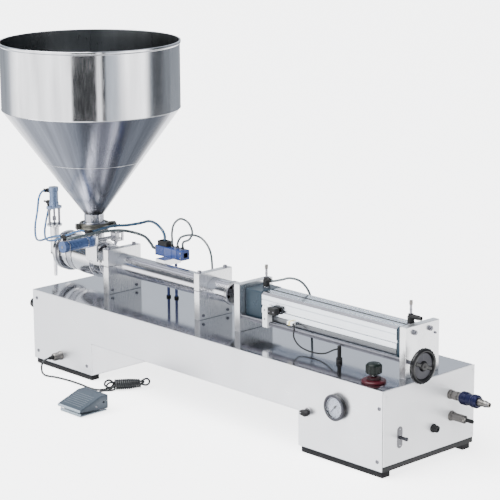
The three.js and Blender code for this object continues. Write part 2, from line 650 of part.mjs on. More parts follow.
function buildEndFace(parent) {
  const leverBall = 3.2;
  addPart(parent, 'toggle_lever', joined(
    cylinder('x', leverBall, 0, 4, [0, 0], 10),
    cylinder('x', 2.2, 3, 16, [0, 0], 12),
    cylinder('x', 3, 14, 24, [0, 0], 10),
  ), finishes.steel, [1.2, 56, 77]);
  addPart(parent, 'fuse_holder', turned('x', [[0, 0], [11, 0], [11, 3], [9, 4], [8.4, 15], [6, 16], [0, 16]], 18),
    finishes.blackPlastic, [GAP, 175, 72]);
  addPart(parent, 'inlet_body', turned('x', [
    [0, 0], [12, 0], [12, 6], [9, 6], [9, 30], [11.5, 31], [11.5, 35], [9.8, 36], [9.8, 98], [8.5, 99], [8.5, 112],
    [6, 124], [0, 124],
  ], 22), finishes.steel, [GAP, 235.5, 144]);
  addPart(parent, 'inlet_sleeve', turned('x', [
    [10.1, 0], [14, 0], [16.5, 4], [16.5, 18], [14.5, 21], [14.5, 35], [16.5, 38], [16.5, 50], [14, 54], [10.1, 54],
    [10.1, 0],
  ], 22), finishes.navy, [37, 235.5, 144]);
  addPart(parent, 'side_fitting', turned('x', [
    [0, 0], [13, 0], [13, 8], [10, 9], [10, 44], [6, 45], [5, 48], [5, 70], [0, 70],
  ], 18), finishes.steel, [GAP, 241, 88]);
  addPart(parent, 'left_end_plug', turned('x', [[0, 0], [17, 0], [17, -10], [14, -19], [7, -24], [0, -25]], 22),
    finishes.blackPlastic, [-housing.length - GAP, 18, 154]);
}

// ---- foot switch and its cord --------------------------------------------------------------------
function buildPedal(parent) {
  const { left, right, front, back, backTop, frontTop } = pedal;
  const middleX = (left + right) / 2;
  const wall = 3;
  const pinY = back - 16;
  const pinZ = 12;
  const base = joined(
    box(left + 5, right - 5, front + 6, back - 1, FLOOR_Z, FLOOR_Z + 5),
    box(left + 8, right - 8, pinY - 8, pinY + 8, FLOOR_Z + 4, pinZ + 5),
    cylinder('x', 3, left + 3.6, right - 3.6, [pinY, pinZ], 12),
    cylinder('y', 4.2, pinY + 7, back + 8, [middleX, -6], 12),
  );
  addPart(parent, 'pedal_base', base, finishes.pedalBlue);
  const outline = [[front, -2], [back, -8], [back, backTop], [back - 26, backTop], [front + 8, frontTop + 3], [front, frontTop]];
  const inside = [
    [front + wall, -9], [back - wall, -9], [back - wall, backTop - wall], [back - 26, backTop - wall],
    [front + 8, frontTop + 3 - wall], [front + wall, frontTop - wall + 2],
  ];
  const gland = cylinder('y', 6, back - 6, back + 4, [middleX, -6], 14);
  const glandSlot = box(middleX - 6, middleX + 6, back - 6, back + 4, -20, -6);
  const treadle = cut(
    slabYZ(outline, left, right),
    slabYZ(inside, left + wall, right - wall),
    cylinder('x', 3.3, left - 1, right + 1, [pinY, pinZ], 12),
    gland,
    glandSlot,
  );
  addPart(parent, 'pedal_treadle', treadle, finishes.pedalBlue);
}

const hank = { x: -969, y: 24, length: 124, width: 36, top: 15, turnDeg: 57 };

function buildCord(parent) {
  const connector = { x: -1228, z: 30 };
  addPart(parent, 'cord_connector', turned('y', [
    [0, 0], [13, 0], [13, -6], [10.5, -7], [10.5, -28], [6, -30], [5, -42], [0, -42],
  ], 18), finishes.steel, [connector.x, -GAP, connector.z]);
  const floorRun = FLOOR_Z + CORD_RADIUS + 0.6;
  addPart(parent, 'cord_run_machine', hose([
    [connector.x, -42 - 2 * GAP, connector.z], [connector.x, -50, connector.z], [-1229, -60, 22], [-1230, -66, 6],
    [-1228, -67, -6], [-1217, -63, floorRun], [-1190, -54, floorRun], [-1140, -46, floorRun],
    [-1085, -45, floorRun], [-1040, -48, floorRun], [-1014, -43, floorRun], [-1006.6, -33.8, floorRun],
    [-1003.4, -29, floorRun],
  ], CORD_RADIUS, 24), finishes.blackRubber);
  const middleX = (pedal.left + pedal.right) / 2;
  addPart(parent, 'cord_run_pedal', hose([
    [middleX, pedal.back + 8 + GAP, -6], [middleX, -118, -6], [-908, -108, -9], [-918, -98, floorRun],
    [-945, -80, floorRun], [-975, -64, floorRun], [-994, -50, floorRun], [-998.4, -38.5, floorRun],
    [-995.1, -32.8, floorRun],
  ], CORD_RADIUS, 14), finishes.blackRubber);
  const radius = hank.width / 2;
  const straight = hank.length / 2 - radius;
  const outline = new THREE.Shape();
  outline.moveTo(-straight, -radius);
  outline.lineTo(straight, -radius);
  outline.absarc(straight, 0, radius, -Math.PI / 2, Math.PI / 2, false);
  outline.lineTo(-straight, radius);
  outline.absarc(-straight, 0, radius, Math.PI / 2, (3 * Math.PI) / 2, false);
  const depth = hank.top - FLOOR_Z - GAP;
  const bundle = new THREE.ExtrudeGeometry(outline, { depth, bevelEnabled: false, curveSegments: 8 });
  const group = groupAt(parent, hank.x, hank.y, FLOOR_Z + GAP);
  group.rotation.z = THREE.MathUtils.degToRad(hank.turnDeg);
  addPart(group, 'cord_hank', toSolid(bundle), finishes.blackRubber);
}

// ---- assembly -----------------------------------------------------------------------------------
buildHousing(machine);
const fillingAxis = groupAt(machine, 0, AXIS_Y, AXIS_Z);
buildClamp(fillingAxis, 1, plateX.clamp1);
buildClamp(fillingAxis, 2, plateX.clamp2);
buildCylinderPlates(fillingAxis);
buildProductCylinder(fillingAxis);
buildValve(fillingAxis);
buildActuator(fillingAxis);
buildNozzle(fillingAxis);
buildAirCylinder(fillingAxis);
buildHopper(machine);
buildNeckClamp(machine);
buildStrokeAdjustment(machine);
buildManifold(machine);
buildHoses(machine);
buildEmergencyStop(machine);
buildGauge(machine);
buildFrontKnob(machine);
buildEndFace(machine);
buildPedal(machine);
buildCord(machine);

// The finished model stands on z = 0 with its bounding box centred over the origin; the free cord's own
// nodes are left out of that box.
const cordNodes = ['cord_run_machine', 'cord_run_pedal', 'cord_hank'];
machine.updateMatrixWorld(true);
const bounds = new THREE.Box3();
machine.traverse((item) => {
  if (item.isMesh && !cordNodes.includes(item.name)) bounds.expandByObject(item, true);
});
const middle = bounds.getCenter(new THREE.Vector3());
machine.position.set(-middle.x, -middle.y, -bounds.min.z);

const filler = new THREE.Group();
filler.add(machine);
export default filler;
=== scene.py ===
"""Looks of a bench-top piston liquid filler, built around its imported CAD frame."""
import math

import bmesh
import bpy
import numpy as np
from mathutils import Matrix, Vector


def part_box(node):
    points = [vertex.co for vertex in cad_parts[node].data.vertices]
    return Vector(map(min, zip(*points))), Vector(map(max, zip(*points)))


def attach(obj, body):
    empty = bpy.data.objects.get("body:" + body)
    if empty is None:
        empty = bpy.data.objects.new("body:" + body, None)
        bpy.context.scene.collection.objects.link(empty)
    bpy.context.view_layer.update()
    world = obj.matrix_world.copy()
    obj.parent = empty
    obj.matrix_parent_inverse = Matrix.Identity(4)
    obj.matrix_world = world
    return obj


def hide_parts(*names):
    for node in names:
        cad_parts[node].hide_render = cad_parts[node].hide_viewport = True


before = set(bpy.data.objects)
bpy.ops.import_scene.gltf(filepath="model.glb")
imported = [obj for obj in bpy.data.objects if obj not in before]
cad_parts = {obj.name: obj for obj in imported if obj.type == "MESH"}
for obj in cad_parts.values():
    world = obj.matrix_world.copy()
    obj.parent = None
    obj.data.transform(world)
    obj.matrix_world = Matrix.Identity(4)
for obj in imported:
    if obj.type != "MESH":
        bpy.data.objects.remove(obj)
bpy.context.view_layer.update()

# Pieces are shaped in millimetres in the machine's own axes: x is 0 at the handwheel end of the housing and
# runs to -LENGTH, y is 0 at the front face, z is 0 at the housing's underside. ORIGIN is that corner's place.
MM = 0.001
cover_low, cover_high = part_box("end_cover")
HEIGHT = 200.0
ORIGIN = Vector((cover_high.x, cover_low.y, cover_high.z - HEIGHT * MM))
TO_FRAME = Matrix.Translation(ORIGIN) @ Matrix.Scale(MM, 4)
X, Y, Z = Vector((1, 0, 0)), Vector((0, 1, 0)), Vector((0, 0, 1))

LENGTH, DEPTH = 1350.0, 326.0
FLOOR = -16.0
DECK = HEIGHT + 0.3
AXIS_Y, AXIS_Z = 168.0, 279.0
BEAM_Z = 90.0
RIGHT_LEG, LEFT_LEG = 285.0, 260.0
INLET_X, LEVER_X, NOZZLE_X = -1274.0, -1212.0, -1458.0
ACTUATOR_Z = 343.0
FITTING_Z = ACTUATOR_Z + 27
PLATE_FRONT, PLATE_BACK, PLATE_TOP = 111.0, 231.0, 327.0
ON_AXIS = (0, AXIS_Y, AXIS_Z)
CORD_R, CORD_LENGTH = 2.75, 1.85
BOX_FACES = [(0, 1, 2, 3), (7, 6, 5, 4), (0, 4, 5, 1), (1, 5, 6, 2), (2, 6, 7, 3), (3, 7, 4, 0)]

# Light levels: the white surroundings in reflections, the floor's glow, and the backdrop that the camera sees.
# ZENITH is the colour overhead, and CAMERA_RIGHT the camera's sideways direction seen from above.
WHITE_LEVEL, FLOOR_GLOW, BACKDROP_LEVEL = 3.2, 3.0, 5.8
ZENITH = (0.6, 0.61, 0.65)
CAMERA_RIGHT = (0.686, 0.727)
SUN_POWER, SUN_SPREAD, SUN_TOWARD = 7.0, 60, (0.25, 0.5, -1.0)
FRONT_POWER, SIDE_POWER = 90, 55


# ---- material building ---------------------------------------------------------------------------
def new_material(name):
    made = bpy.data.materials.new(name)
    made.use_nodes = True
    tree = made.node_tree
    return made, tree, tree.nodes["Principled BSDF"]


def node(tree, kind, **inputs):
    made = tree.nodes.new(kind)
    for key, value in inputs.items():
        made.inputs[key.replace("_", " ")].default_value = value
    return made


def position(tree, stretch=(1, 1, 1)):
    """The object's own coordinates, in metres, stretched so that a noise runs along one of them."""
    coord = tree.nodes.new("ShaderNodeTexCoord")
    mapping = tree.nodes.new("ShaderNodeMapping")
    mapping.inputs["Scale"].default_value = stretch
    tree.links.new(coord.outputs["Object"], mapping.inputs["Vector"])
    return mapping.outputs["Vector"]


def noise(tree, vector, scale, detail=4.0, rough=0.55):
    made = node(tree, "ShaderNodeTexNoise", Scale=scale, Detail=detail, Roughness=rough)
    tree.links.new(vector, made.inputs["Vector"])
    return made.outputs["Fac"]


def remap(tree, value, low, high, start=0.3, end=0.7):
    made = tree.nodes.new("ShaderNodeMapRange")
    made.inputs["From Min"].default_value = start
    made.inputs["From Max"].default_value = end
    made.inputs["To Min"].default_value = low
    made.inputs["To Max"].default_value = high
    tree.links.new(value, made.inputs["Value"])
    return made.outputs["Result"]


def math_node(tree, operation, a, b):
    made = tree.nodes.new("ShaderNodeMath")
    made.operation = operation
    for socket, value in zip(made.inputs, (a, b)):
        if isinstance(value, (int, float)):
            socket.default_value = value
        else:
            tree.links.new(value, socket)
    return made.outputs["Value"]


def mixed(tree, factor, first, second):
    """Colour mix: first where factor is 0 and second where it is 1."""
    made = tree.nodes.new("ShaderNodeMix")
    made.data_type = "RGBA"
    tree.links.new(factor, made.inputs["Factor"])
    for socket, value in ((made.inputs[6], first), (made.inputs[7], second)):
        if isinstance(value, tuple):
            socket.default_value = (*value, 1.0)
        else:
            tree.links.new(value, socket)
    return made.outputs[2]


def scaled(color, factor):
    return tuple(c * factor for c in color)


def join_shader(tree, shader, color, gloss, heights, depth):
    """Gives the shader its colour, its roughness and a bump, with the bump's depth in metres."""
    tree.links.new(color, shader.inputs["Base Color"])
    tree.links.new(gloss, shader.inputs["Roughness"])
    bump = node(tree, "ShaderNodeBump", Strength=1.0, Distance=depth)
    tree.links.new(heights, bump.inputs["Height"])
    tree.links.new(bump.outputs["Normal"], shader.inputs["Normal"])


def edge_wear(tree):
    """1 on convex edges and 0 elsewhere."""
    geometry = tree.nodes.new("ShaderNodeNewGeometry")
    return remap(tree, geometry.outputs["Pointiness"], 0.0, 1.0, 0.52, 0.60)


def metal(
        name, color, rough, grain=(1, 1, 1), grain_scale=900.0, depth=4e-6,
        spread=0.10, tint=0.06, metallic=1.0):
    """Bare metal: fine grain along one direction, smudges in its gloss, and slightly mottled colour."""
    made, tree, shader = new_material(name)
    shader.inputs["Metallic"].default_value = metallic
    fine = noise(tree, position(tree, grain), grain_scale, 3.0)
    smudge = noise(tree, position(tree), 9.0, 5.0, 0.6)
    specks = noise(tree, position(tree), 60.0, 4.0)
    gloss = math_node(
        tree, "ADD", remap(tree, fine, -spread / 2, spread / 2), remap(tree, smudge, rough, rough + spread))
    dark = scaled(color, 1 - tint)
    shade = mixed(tree, remap(tree, smudge, 0.0, 1.0), color, dark)
    shade = mixed(tree, remap(tree, specks, 0.0, 0.25), shade, dark)
    join_shader(tree, shader, shade, gloss, fine, depth)
    return made


def plastic(name, color, rough, coat=0.0, grain_scale=700.0, depth=1.2e-5, wear=0.25, tint=0.2, metallic=0.0):
    """Moulded plastic or paint: fine texture, uneven gloss, slightly varied colour, and paler rubbed edges."""
    made, tree, shader = new_material(name)
    shader.inputs["Metallic"].default_value = metallic
    shader.inputs["Coat Weight"].default_value = coat * 0.4
    shader.inputs["Coat Roughness"].default_value = 0.12
    fine = noise(tree, position(tree), grain_scale, 3.0)
    cloud = noise(tree, position(tree), 25.0, 5.0)
    shader.inputs["Specular IOR Level"].default_value = 0.2
    worn = tuple(c + (0.75 - c) * wear for c in color)
    shade = mixed(tree, remap(tree, cloud, 0.0, 1.0), color, scaled(color, 1 - tint))
    rubbed = math_node(tree, "MULTIPLY", edge_wear(tree), remap(tree, cloud, 0.2, 1.0))
    shade = mixed(tree, rubbed, shade, worn)
    join_shader(tree, shader, shade, remap(tree, cloud, rough * 0.8, rough * 1.3), fine, depth)
    return made


def hopper_steel(name, color, rough, reflection_and_streak=0.35):
    """Polished sheet: fine polish lines that run down the wall, and broad darker bands which are painted
    reflection, told apart by the angle round its axis.
    """
    made, tree, shader = new_material(name)
    shader.inputs["Metallic"].default_value = 1.0
    coord = tree.nodes.new("ShaderNodeTexCoord")
    centre = tree.nodes.new("ShaderNodeVectorMath")
    centre.operation = "SUBTRACT"
    middle = TO_FRAME @ Vector((INLET_X, AXIS_Y, 0))
    centre.inputs[1].default_value = (middle.x, middle.y, 0)
    tree.links.new(coord.outputs["Object"], centre.inputs[0])
    split = tree.nodes.new("ShaderNodeSeparateXYZ")
    tree.links.new(centre.outputs["Vector"], split.inputs["Vector"])
    angle = math_node(tree, "ARCTAN2", split.outputs["Y"], split.outputs["X"])
    around = tree.nodes.new("ShaderNodeCombineXYZ")
    tree.links.new(angle, around.inputs["X"])
    tree.links.new(math_node(tree, "MULTIPLY", split.outputs["Z"], 0.35), around.inputs["Y"])
    broad = noise(tree, around.outputs["Vector"], 3.4, 3.0)
    fine = noise(tree, around.outputs["Vector"], 70.0, 3.0)
    smudge = noise(tree, position(tree), 7.0, 5.0)
    gloss = math_node(tree, "ADD", remap(tree, fine, 0.0, 0.05), remap(tree, smudge, rough, rough + 0.06))
    dark = scaled(color, 1 - reflection_and_streak)
    # The broad noise darkens wide bands round the wall, a painted reflection of dark surroundings; the fine
    # noise below adds polish lines.
    shade = mixed(tree, remap(tree, broad, 0.0, 1.0, 0.42, 0.62), color, dark)
    shade = mixed(tree, remap(tree, fine, 0.0, 0.3), shade, dark)
    join_shader(tree, shader, shade, gloss, fine, 1.5e-5)
    return made


def hose_plastic(name, color):
    """Glossy plastic tube: its colour is darker towards its outline as painted shade, and light scuffs change
    its gloss.
    """
    made, tree, shader = new_material(name)
    facing = node(tree, "ShaderNodeLayerWeight", Blend=0.35)
    scuffs = noise(tree, position(tree), 120.0, 5.0)
    # A darker copy of the colour towards the tube's outline: painted shade of the round tube.
    shade = mixed(tree, facing.outputs["Facing"], color, scaled(color, 0.3))
    pale = tuple(min(1, c * 1.5 + 0.05) for c in color)
    shade = mixed(tree, remap(tree, scuffs, 0.0, 0.25), shade, pale)
    shader.inputs["Coat Weight"].default_value = 0.5
    shader.inputs["Coat Roughness"].default_value = 0.08
    join_shader(tree, shader, shade, remap(tree, scuffs, 0.12, 0.34), scuffs, 1.0e-5)
    return made


def rubber(name, color):
    """Matt rubber: fine pores, dust that greys it in patches, and a soft sheen at grazing angles."""
    made, tree, shader = new_material(name)
    pores = noise(tree, position(tree), 1500.0, 3.0)
    dust = noise(tree, position(tree), 40.0, 6.0, 0.65)
    shade = mixed(tree, remap(tree, dust, 0.0, 0.35, 0.45, 0.75), color, (0.05, 0.05, 0.053))
    shader.inputs["Sheen Weight"].default_value = 0.05
    shader.inputs["Specular IOR Level"].default_value = 0.15
    join_shader(tree, shader, shade, remap(tree, dust, 0.5, 0.85), pores, 2.5e-5)
    return made


def hammered(name, color, rough=0.42):
    """Hammertone enamel: rounded dimples, and paint worn lighter along the casting's edges."""
    made, tree, shader = new_material(name)
    cells = node(tree, "ShaderNodeTexVoronoi", Scale=420.0)
    tree.links.new(position(tree), cells.inputs["Vector"])
    cloud = noise(tree, position(tree), 18.0, 5.0)
    height = cells.outputs["Distance"]
    shade = mixed(tree, remap(tree, cloud, 0.0, 1.0), color, scaled(color, 0.82))
    shade = mixed(tree, remap(tree, height, 0.25, 0.0, 0.0, 0.5), shade, scaled(color, 1.35))
    shade = mixed(tree, math_node(tree, "MULTIPLY", edge_wear(tree), 0.35), shade, (0.36, 0.40, 0.46))
    shader.inputs["Metallic"].default_value = 0.25
    join_shader(tree, shader, shade, remap(tree, cloud, rough, rough + 0.18), height, 6.0e-5)
    return made


def dial_paper(name):
    """Printed gauge dial: off-white card with a faint print grain."""
    made, tree, shader = new_material(name)
    grain = noise(tree, position(tree), 2500.0, 2.0)
    cloud = noise(tree, position(tree), 90.0, 3.0)
    shade = mixed(tree, remap(tree, grain, 0.0, 0.5), (0.36, 0.37, 0.44), (0.29, 0.30, 0.36))
    join_shader(tree, shader, shade, remap(tree, cloud, 0.5, 0.7), grain, 4.0e-6)
    return made


def clear_glass(name):
    """Gauge window: clear, with faint smears in its gloss."""
    made, tree, shader = new_material(name)
    smear = noise(tree, position(tree), 60.0, 4.0)
    tint = mixed(tree, smear, (0.97, 0.98, 0.99), (0.92, 0.95, 0.96))
    shader.inputs["Transmission Weight"].default_value = 1.0
    shader.inputs["IOR"].default_value = 1.2
    join_shader(tree, shader, tint, remap(tree, smear, 0.01, 0.08), smear, 3.0e-6)
    return made


ALONG_X, ALONG_Z, ROUND_X = (0.02, 1, 1), (1, 1, 0.02), (1, 0.03, 0.03)
HOUSING = metal("housing_brushed", (0.86, 0.865, 0.90), 0.30, ALONG_X, 1400.0, 5e-6, 0.09, 0.035, 0.92)
DECK_STEEL = metal("deck_mirror", (0.52, 0.525, 0.56), 0.085, ALONG_X, 1400.0, 2e-6, 0.05, 0.05)
COVER = metal("cover_satin", (0.93, 0.93, 0.945), 0.40, ALONG_Z, 1400.0, 4e-6, 0.08, 0.025, 0.35)
# Darker anodised tone for the tube's lower front edge: painted shade and painted reflection of the dark deck.
TUBE_PAINTED_SHADE = metal("tube_lower_painted_shade", (0.20, 0.21, 0.225), 0.24, ALONG_X, 1300.0, 3e-6, 0.06, 0.06)
PLATE = metal("plate_ground", (0.88, 0.885, 0.90), 0.24, ALONG_Z, 1600.0, 4e-6, 0.10, 0.05, 0.95)
POLISHED = metal("polished_steel", (0.80, 0.80, 0.82), 0.10, ROUND_X, 900.0, 3e-6, 0.06, 0.06)
BARREL = metal("barrel_honed", (0.70, 0.70, 0.745), 0.15, ALONG_X, 1500.0, 3e-6, 0.06, 0.06)
TURNED = metal("turned_steel", (0.50, 0.50, 0.53), 0.20, (1, 1, 1), 1800.0, 3e-6, 0.12, 0.08)
DARK_STEEL = metal("dark_steel", (0.16, 0.16, 0.18), 0.26, (1, 1, 1), 1500.0, 4e-6, 0.12, 0.15)
BORE = metal("bore_shadow", (0.07, 0.07, 0.08), 0.45, ALONG_X, 900.0, 6e-6, 0.15, 0.2)
SCREW_STEEL = metal("screw_steel", (0.27, 0.27, 0.30), 0.25, (1, 1, 1), 2200.0, 4e-6, 0.14, 0.12)
HOPPER_OUT = hopper_steel("hopper_polished", (0.84, 0.845, 0.88), 0.055)
# The cone is the same steel as the wall in a darker copy: painted shade on the down-facing cone.
HOPPER_CONE_SHADED = hopper_steel("hopper_cone_polished_painted_shade", (0.50, 0.51, 0.57), 0.16, 0.45)
# The inside of the hopper is the same steel painted dark grey: painted shade.
HOPPER_IN_SHADED = hopper_steel("hopper_inside_painted_shade", (0.26, 0.27, 0.28), 0.25, 0.3)
ANODISED = metal("tube_anodised", (0.78, 0.82, 0.88), 0.15, ALONG_X, 1300.0, 3e-6, 0.06, 0.04)
CAP_PAINT = plastic("cap_blue_black", (0.016, 0.032, 0.048), 0.30, 0.3, wear=0.05, metallic=0.3)
MINI_BLUE = plastic("cylinder_blue_grey", (0.17, 0.23, 0.36), 0.28, 0.3, wear=0.3, metallic=0.45)
LAVENDER = plastic("actuator_blue", (0.075, 0.125, 0.27), 0.26, 0.3, wear=0.25, metallic=0.45)
BLUE_BLOCK = plastic("block_blue", (0.008, 0.034, 0.17), 0.25, 0.6, wear=0.1)
HOSE_BLUE = hose_plastic("hose_blue", (0.025, 0.11, 0.27))
HOSE_NAVY = hose_plastic("hose_navy", (0.014, 0.028, 0.13))
HOSE_TEAL = hose_plastic("hose_teal", (0.015, 0.055, 0.11))
HOSE_GREY = hose_plastic("hose_grey", (0.045, 0.06, 0.066))
BLACK_GLOSS = plastic("black_gloss", (0.007, 0.007, 0.008), 0.22, 0.5, wear=0.03)
BLACK_MATT = plastic("black_matt", (0.010, 0.010, 0.011), 0.5, wear=0.04)
GREY_FACE = plastic("wheel_face_grey", (0.045, 0.045, 0.055), 0.34, 0.2, wear=0.05)
WHITE = plastic("white_acetal", (0.86, 0.87, 0.88), 0.35, 0.2, tint=0.05, wear=0.0)
YELLOW = plastic("sensor_yellow", (0.80, 0.66, 0.20), 0.35, 0.3, wear=0.05)
RED = plastic("stop_red", (0.045, 0.0035, 0.008), 0.32, 0.35, wear=0.04)
MUSHROOM = plastic("stop_mushroom", (0.0025, 0.006, 0.005), 0.28, wear=0.03)
NAVY = plastic("sleeve_navy", (0.007, 0.009, 0.042), 0.3, 0.4, wear=0.1, metallic=0.4)
NICKEL = metal("nickel", (0.20, 0.19, 0.18), 0.24, (1, 1, 1), 1500.0, 4e-6, 0.12, 0.14)
CLAMP = metal("clamp_cast", (0.155, 0.150, 0.130), 0.30, (1, 1, 1), 1100.0, 8e-6, 0.16, 0.2)
TOGGLE = metal("toggle_steel", (0.085, 0.085, 0.095), 0.24, (1, 1, 1), 1500.0, 4e-6, 0.12, 0.15)
SILVER = metal("silver_fitting", (0.50, 0.50, 0.52), 0.20, (1, 1, 1), 1500.0, 4e-6, 0.12, 0.1)
NAME_PLATE = plastic("plate_grey", (0.15, 0.15, 0.165), 0.4, 0.1, wear=0.2, metallic=0.5)
RAIL = rubber("rail_rubber", (0.009, 0.009, 0.010))
CORD = plastic("cord_sheath", (0.026, 0.028, 0.030), 0.30, 0.8, wear=0.0)
SEAL = rubber("seal_rubber", (0.015, 0.016, 0.018))
PEDAL = hammered("pedal_hammered", (0.026, 0.041, 0.058))
# A pale copy of the pedal enamel for its front: painted light on the lit side.
PEDAL_LIT_FRONT = hammered("pedal_front_painted_light", (0.32, 0.39, 0.45), 0.34)
DIAL = dial_paper("dial_card")
GLASS = clear_glass("gauge_glass")


# ---- shape building, all in millimetres ----------------------------------------------------------
def new_object(name, data):
    made = bpy.data.objects.new(name, data)
    bpy.context.collection.objects.link(made)
    return made


def heading(angle):
    """A level direction, from its angle in radians."""
    return Vector((math.cos(angle), math.sin(angle), 0))


def circle_spots(count, radius, start=0.0):
    """Evenly spaced places on a circle as two coordinates, from a first angle in radians."""
    turns = [start + 2 * math.pi * k / count for k in range(count)]
    return [(radius * math.cos(turn), radius * math.sin(turn)) for turn in turns]


def mesh_object(name, points, faces, material):
    mesh = bpy.data.meshes.new(name)
    mesh.from_pydata([tuple(p) for p in points], [], faces)
    mesh.materials.append(material)
    shape = bmesh.new()
    shape.from_mesh(mesh)
    bmesh.ops.recalc_face_normals(shape, faces=shape.faces)
    shape.to_mesh(mesh)
    shape.free()
    return new_object(name, mesh)


def final_mesh(made):
    """The object's mesh with its modifiers, or what a text object looks like."""
    graph = bpy.context.evaluated_depsgraph_get()
    return bpy.data.meshes.new_from_object(made.evaluated_get(graph))


def apply_modifiers(made):
    mesh = final_mesh(made)
    made.modifiers.clear()
    made.data = mesh
    return made


def smooth(made, angle=34):
    """Smooth shading up to an angle, with normals that keep broad faces flat."""
    made.data.shade_smooth()
    made.data.set_sharp_from_angle(angle=math.radians(angle))
    weighted = made.modifiers.new("normals", "WEIGHTED_NORMAL")
    weighted.keep_sharp = True
    return apply_modifiers(made)


def carve(made, *tools):
    """Cuts closed tools out of a shape, and removes them."""
    for tool in tools:
        cutter = made.modifiers.new("cut", "BOOLEAN")
        cutter.operation = "DIFFERENCE"
        cutter.solver = "EXACT"
        cutter.object = tool
    apply_modifiers(made)
    for tool in tools:
        bpy.data.objects.remove(tool)
    return smooth(made)


def paint(made, material, test):
    """Gives a material to the faces whose centre and normal pass the test."""
    made.data.materials.append(material)
    index = len(made.data.materials) - 1
    for face in made.data.polygons:
        if test(face.center, face.normal):
            face.material_index = index
    return made


def rounded(profile, radius, steps=3):
    """A profile with its corners rounded. It is closed if its last point is its first."""
    closed = profile[0] == profile[-1]
    corners = [Vector(p) for p in (profile[:-1] if closed else profile)]
    count = len(corners)
    result = []
    for i, corner in enumerate(corners):
        if not closed and i in (0, count - 1):
            result.append(corner)
            continue
        before = corners[i - 1] - corner
        after = corners[(i + 1) % count] - corner
        if before.length < 1e-6 or after.length < 1e-6 or before.angle(after) > math.radians(160):
            result.append(corner)
            continue
        reach = min(radius, 0.45 * before.length, 0.45 * after.length)
        first = corner + before.normalized() * reach
        last = corner + after.normalized() * reach
        for step in range(steps + 1):
            t = step / steps
            result.append(first * (1 - t) ** 2 + corner * 2 * t * (1 - t) + last * t ** 2)
    return result + [result[0].copy()] if closed else result


def lathe(profile, material, base=(0, 0, 0), axis=Z, sides=72, edge=0.6, hex_within=0.0):
    """A turned shape of (radius, height along the axis) points. Those within hex_within form a hexagon."""
    axis = Vector(axis).normalized()
    side = axis.orthogonal().normalized()
    other = axis.cross(side)
    line = rounded([tuple(map(float, p)) for p in profile], edge) if edge else [Vector(p) for p in profile]
    closed = (line[0] - line[-1]).length < 1e-9 and line[0].x > 1e-9
    if closed:
        line = line[:-1]
    points, rings = [], []
    for radius, height in line:
        middle = Vector(base) + axis * height
        if radius < 1e-9:
            rings.append([len(points)])
            points.append(middle)
            continue
        ring = []
        for k in range(sides):
            turn = 2 * math.pi * k / sides
            reach = radius
            if radius <= hex_within:
                reach = radius * math.cos(math.pi / 6) / math.cos(turn % (math.pi / 3) - math.pi / 6)
            ring.append(len(points))
            points.append(middle + (side * math.cos(turn) + other * math.sin(turn)) * reach)
        rings.append(ring)
    faces = []
    pairs = list(zip(rings, rings[1:])) + ([(rings[-1], rings[0])] if closed else [])
    for low, high in pairs:
        for k in range(sides):
            n = (k + 1) % sides
            if len(low) == 1 and len(high) == 1:
                continue
            if len(low) == 1:
                faces.append((low[0], high[n], high[k]))
            elif len(high) == 1:
                faces.append((low[k], low[n], high[0]))
            else:
                faces.append((low[k], low[n], high[n], high[k]))
    return smooth(mesh_object("turned", points, faces, material))


def rod(material, radius, start, end, edge=0.6, sides=48):
    """A round bar between two points."""
    start, end = Vector(start), Vector(end)
    length = (end - start).length
    return lathe(
        [(0, 0), (radius, 0), (radius, length), (0, length)], material, start, end - start, sides, edge)


def ring(material, inner, outer, start, end, edge=0.6, sides=72):
    """A tube or washer between two points."""
    start, end = Vector(start), Vector(end)
    length = (end - start).length
    wall = [(inner, 0), (outer, 0), (outer, length), (inner, length), (inner, 0)]
    return lathe(wall, material, start, end - start, sides, edge)


def hexagon(material, across, start, end, edge=0.7):
    """A hexagon bar or nut with turned chamfers, across its flats."""
    start, end = Vector(start), Vector(end)
    length = (end - start).length
    corner = across / 2 / math.cos(math.pi / 6)
    made = lathe([(0, 0), (corner, 0), (corner, length), (0, length)], material, start, end - start, 6, 0)
    return bevelled(made, edge)


def bevelled(made, width, segments=3, angle=30):
    shape = bmesh.new()
    shape.from_mesh(made.data)
    edges = [e for e in shape.edges if len(e.link_faces) == 2 and e.calc_face_angle(0) > math.radians(angle)]
    bmesh.ops.bevel(
        shape, geom=edges, offset=width, offset_type="OFFSET", segments=segments, profile=0.5, affect="EDGES",
        clamp_overlap=True)
    shape.to_mesh(made.data)
    shape.free()
    return smooth(made)


def slab(outline, axis, start, end, material, edge=0.8, segments=3):
    """An outline pushed along x, y or z. It is given in the other two coordinates, in order."""
    place = {
        "x": lambda a, b, t: (t, a, b), "y": lambda a, b, t: (a, t, b), "z": lambda a, b, t: (a, b, t)}[axis]
    count = len(outline)
    points = [place(a, b, start) for a, b in outline] + [place(a, b, end) for a, b in outline]
    faces = [tuple(range(count)), tuple(range(2 * count - 1, count - 1, -1))]
    faces += [(i, (i + 1) % count, (i + 1) % count + count, i + count) for i in range(count)]
    made = mesh_object("slab", points, faces, material)
    return bevelled(made, edge, segments) if edge else smooth(made)


def block(x0, x1, y0, y1, z0, z1, material, edge=0.8, segments=3):
    return slab([(x0, y0), (x1, y0), (x1, y1), (x0, y1)], "z", z0, z1, material, edge, segments)


def arc(centre, radius, start, end, steps=8):
    """Points on an arc, with its angles in degrees."""
    turns = [math.radians(start + (end - start) * k / steps) for k in range(steps + 1)]
    return [(centre[0] + radius * math.cos(t), centre[1] + radius * math.sin(t)) for t in turns]


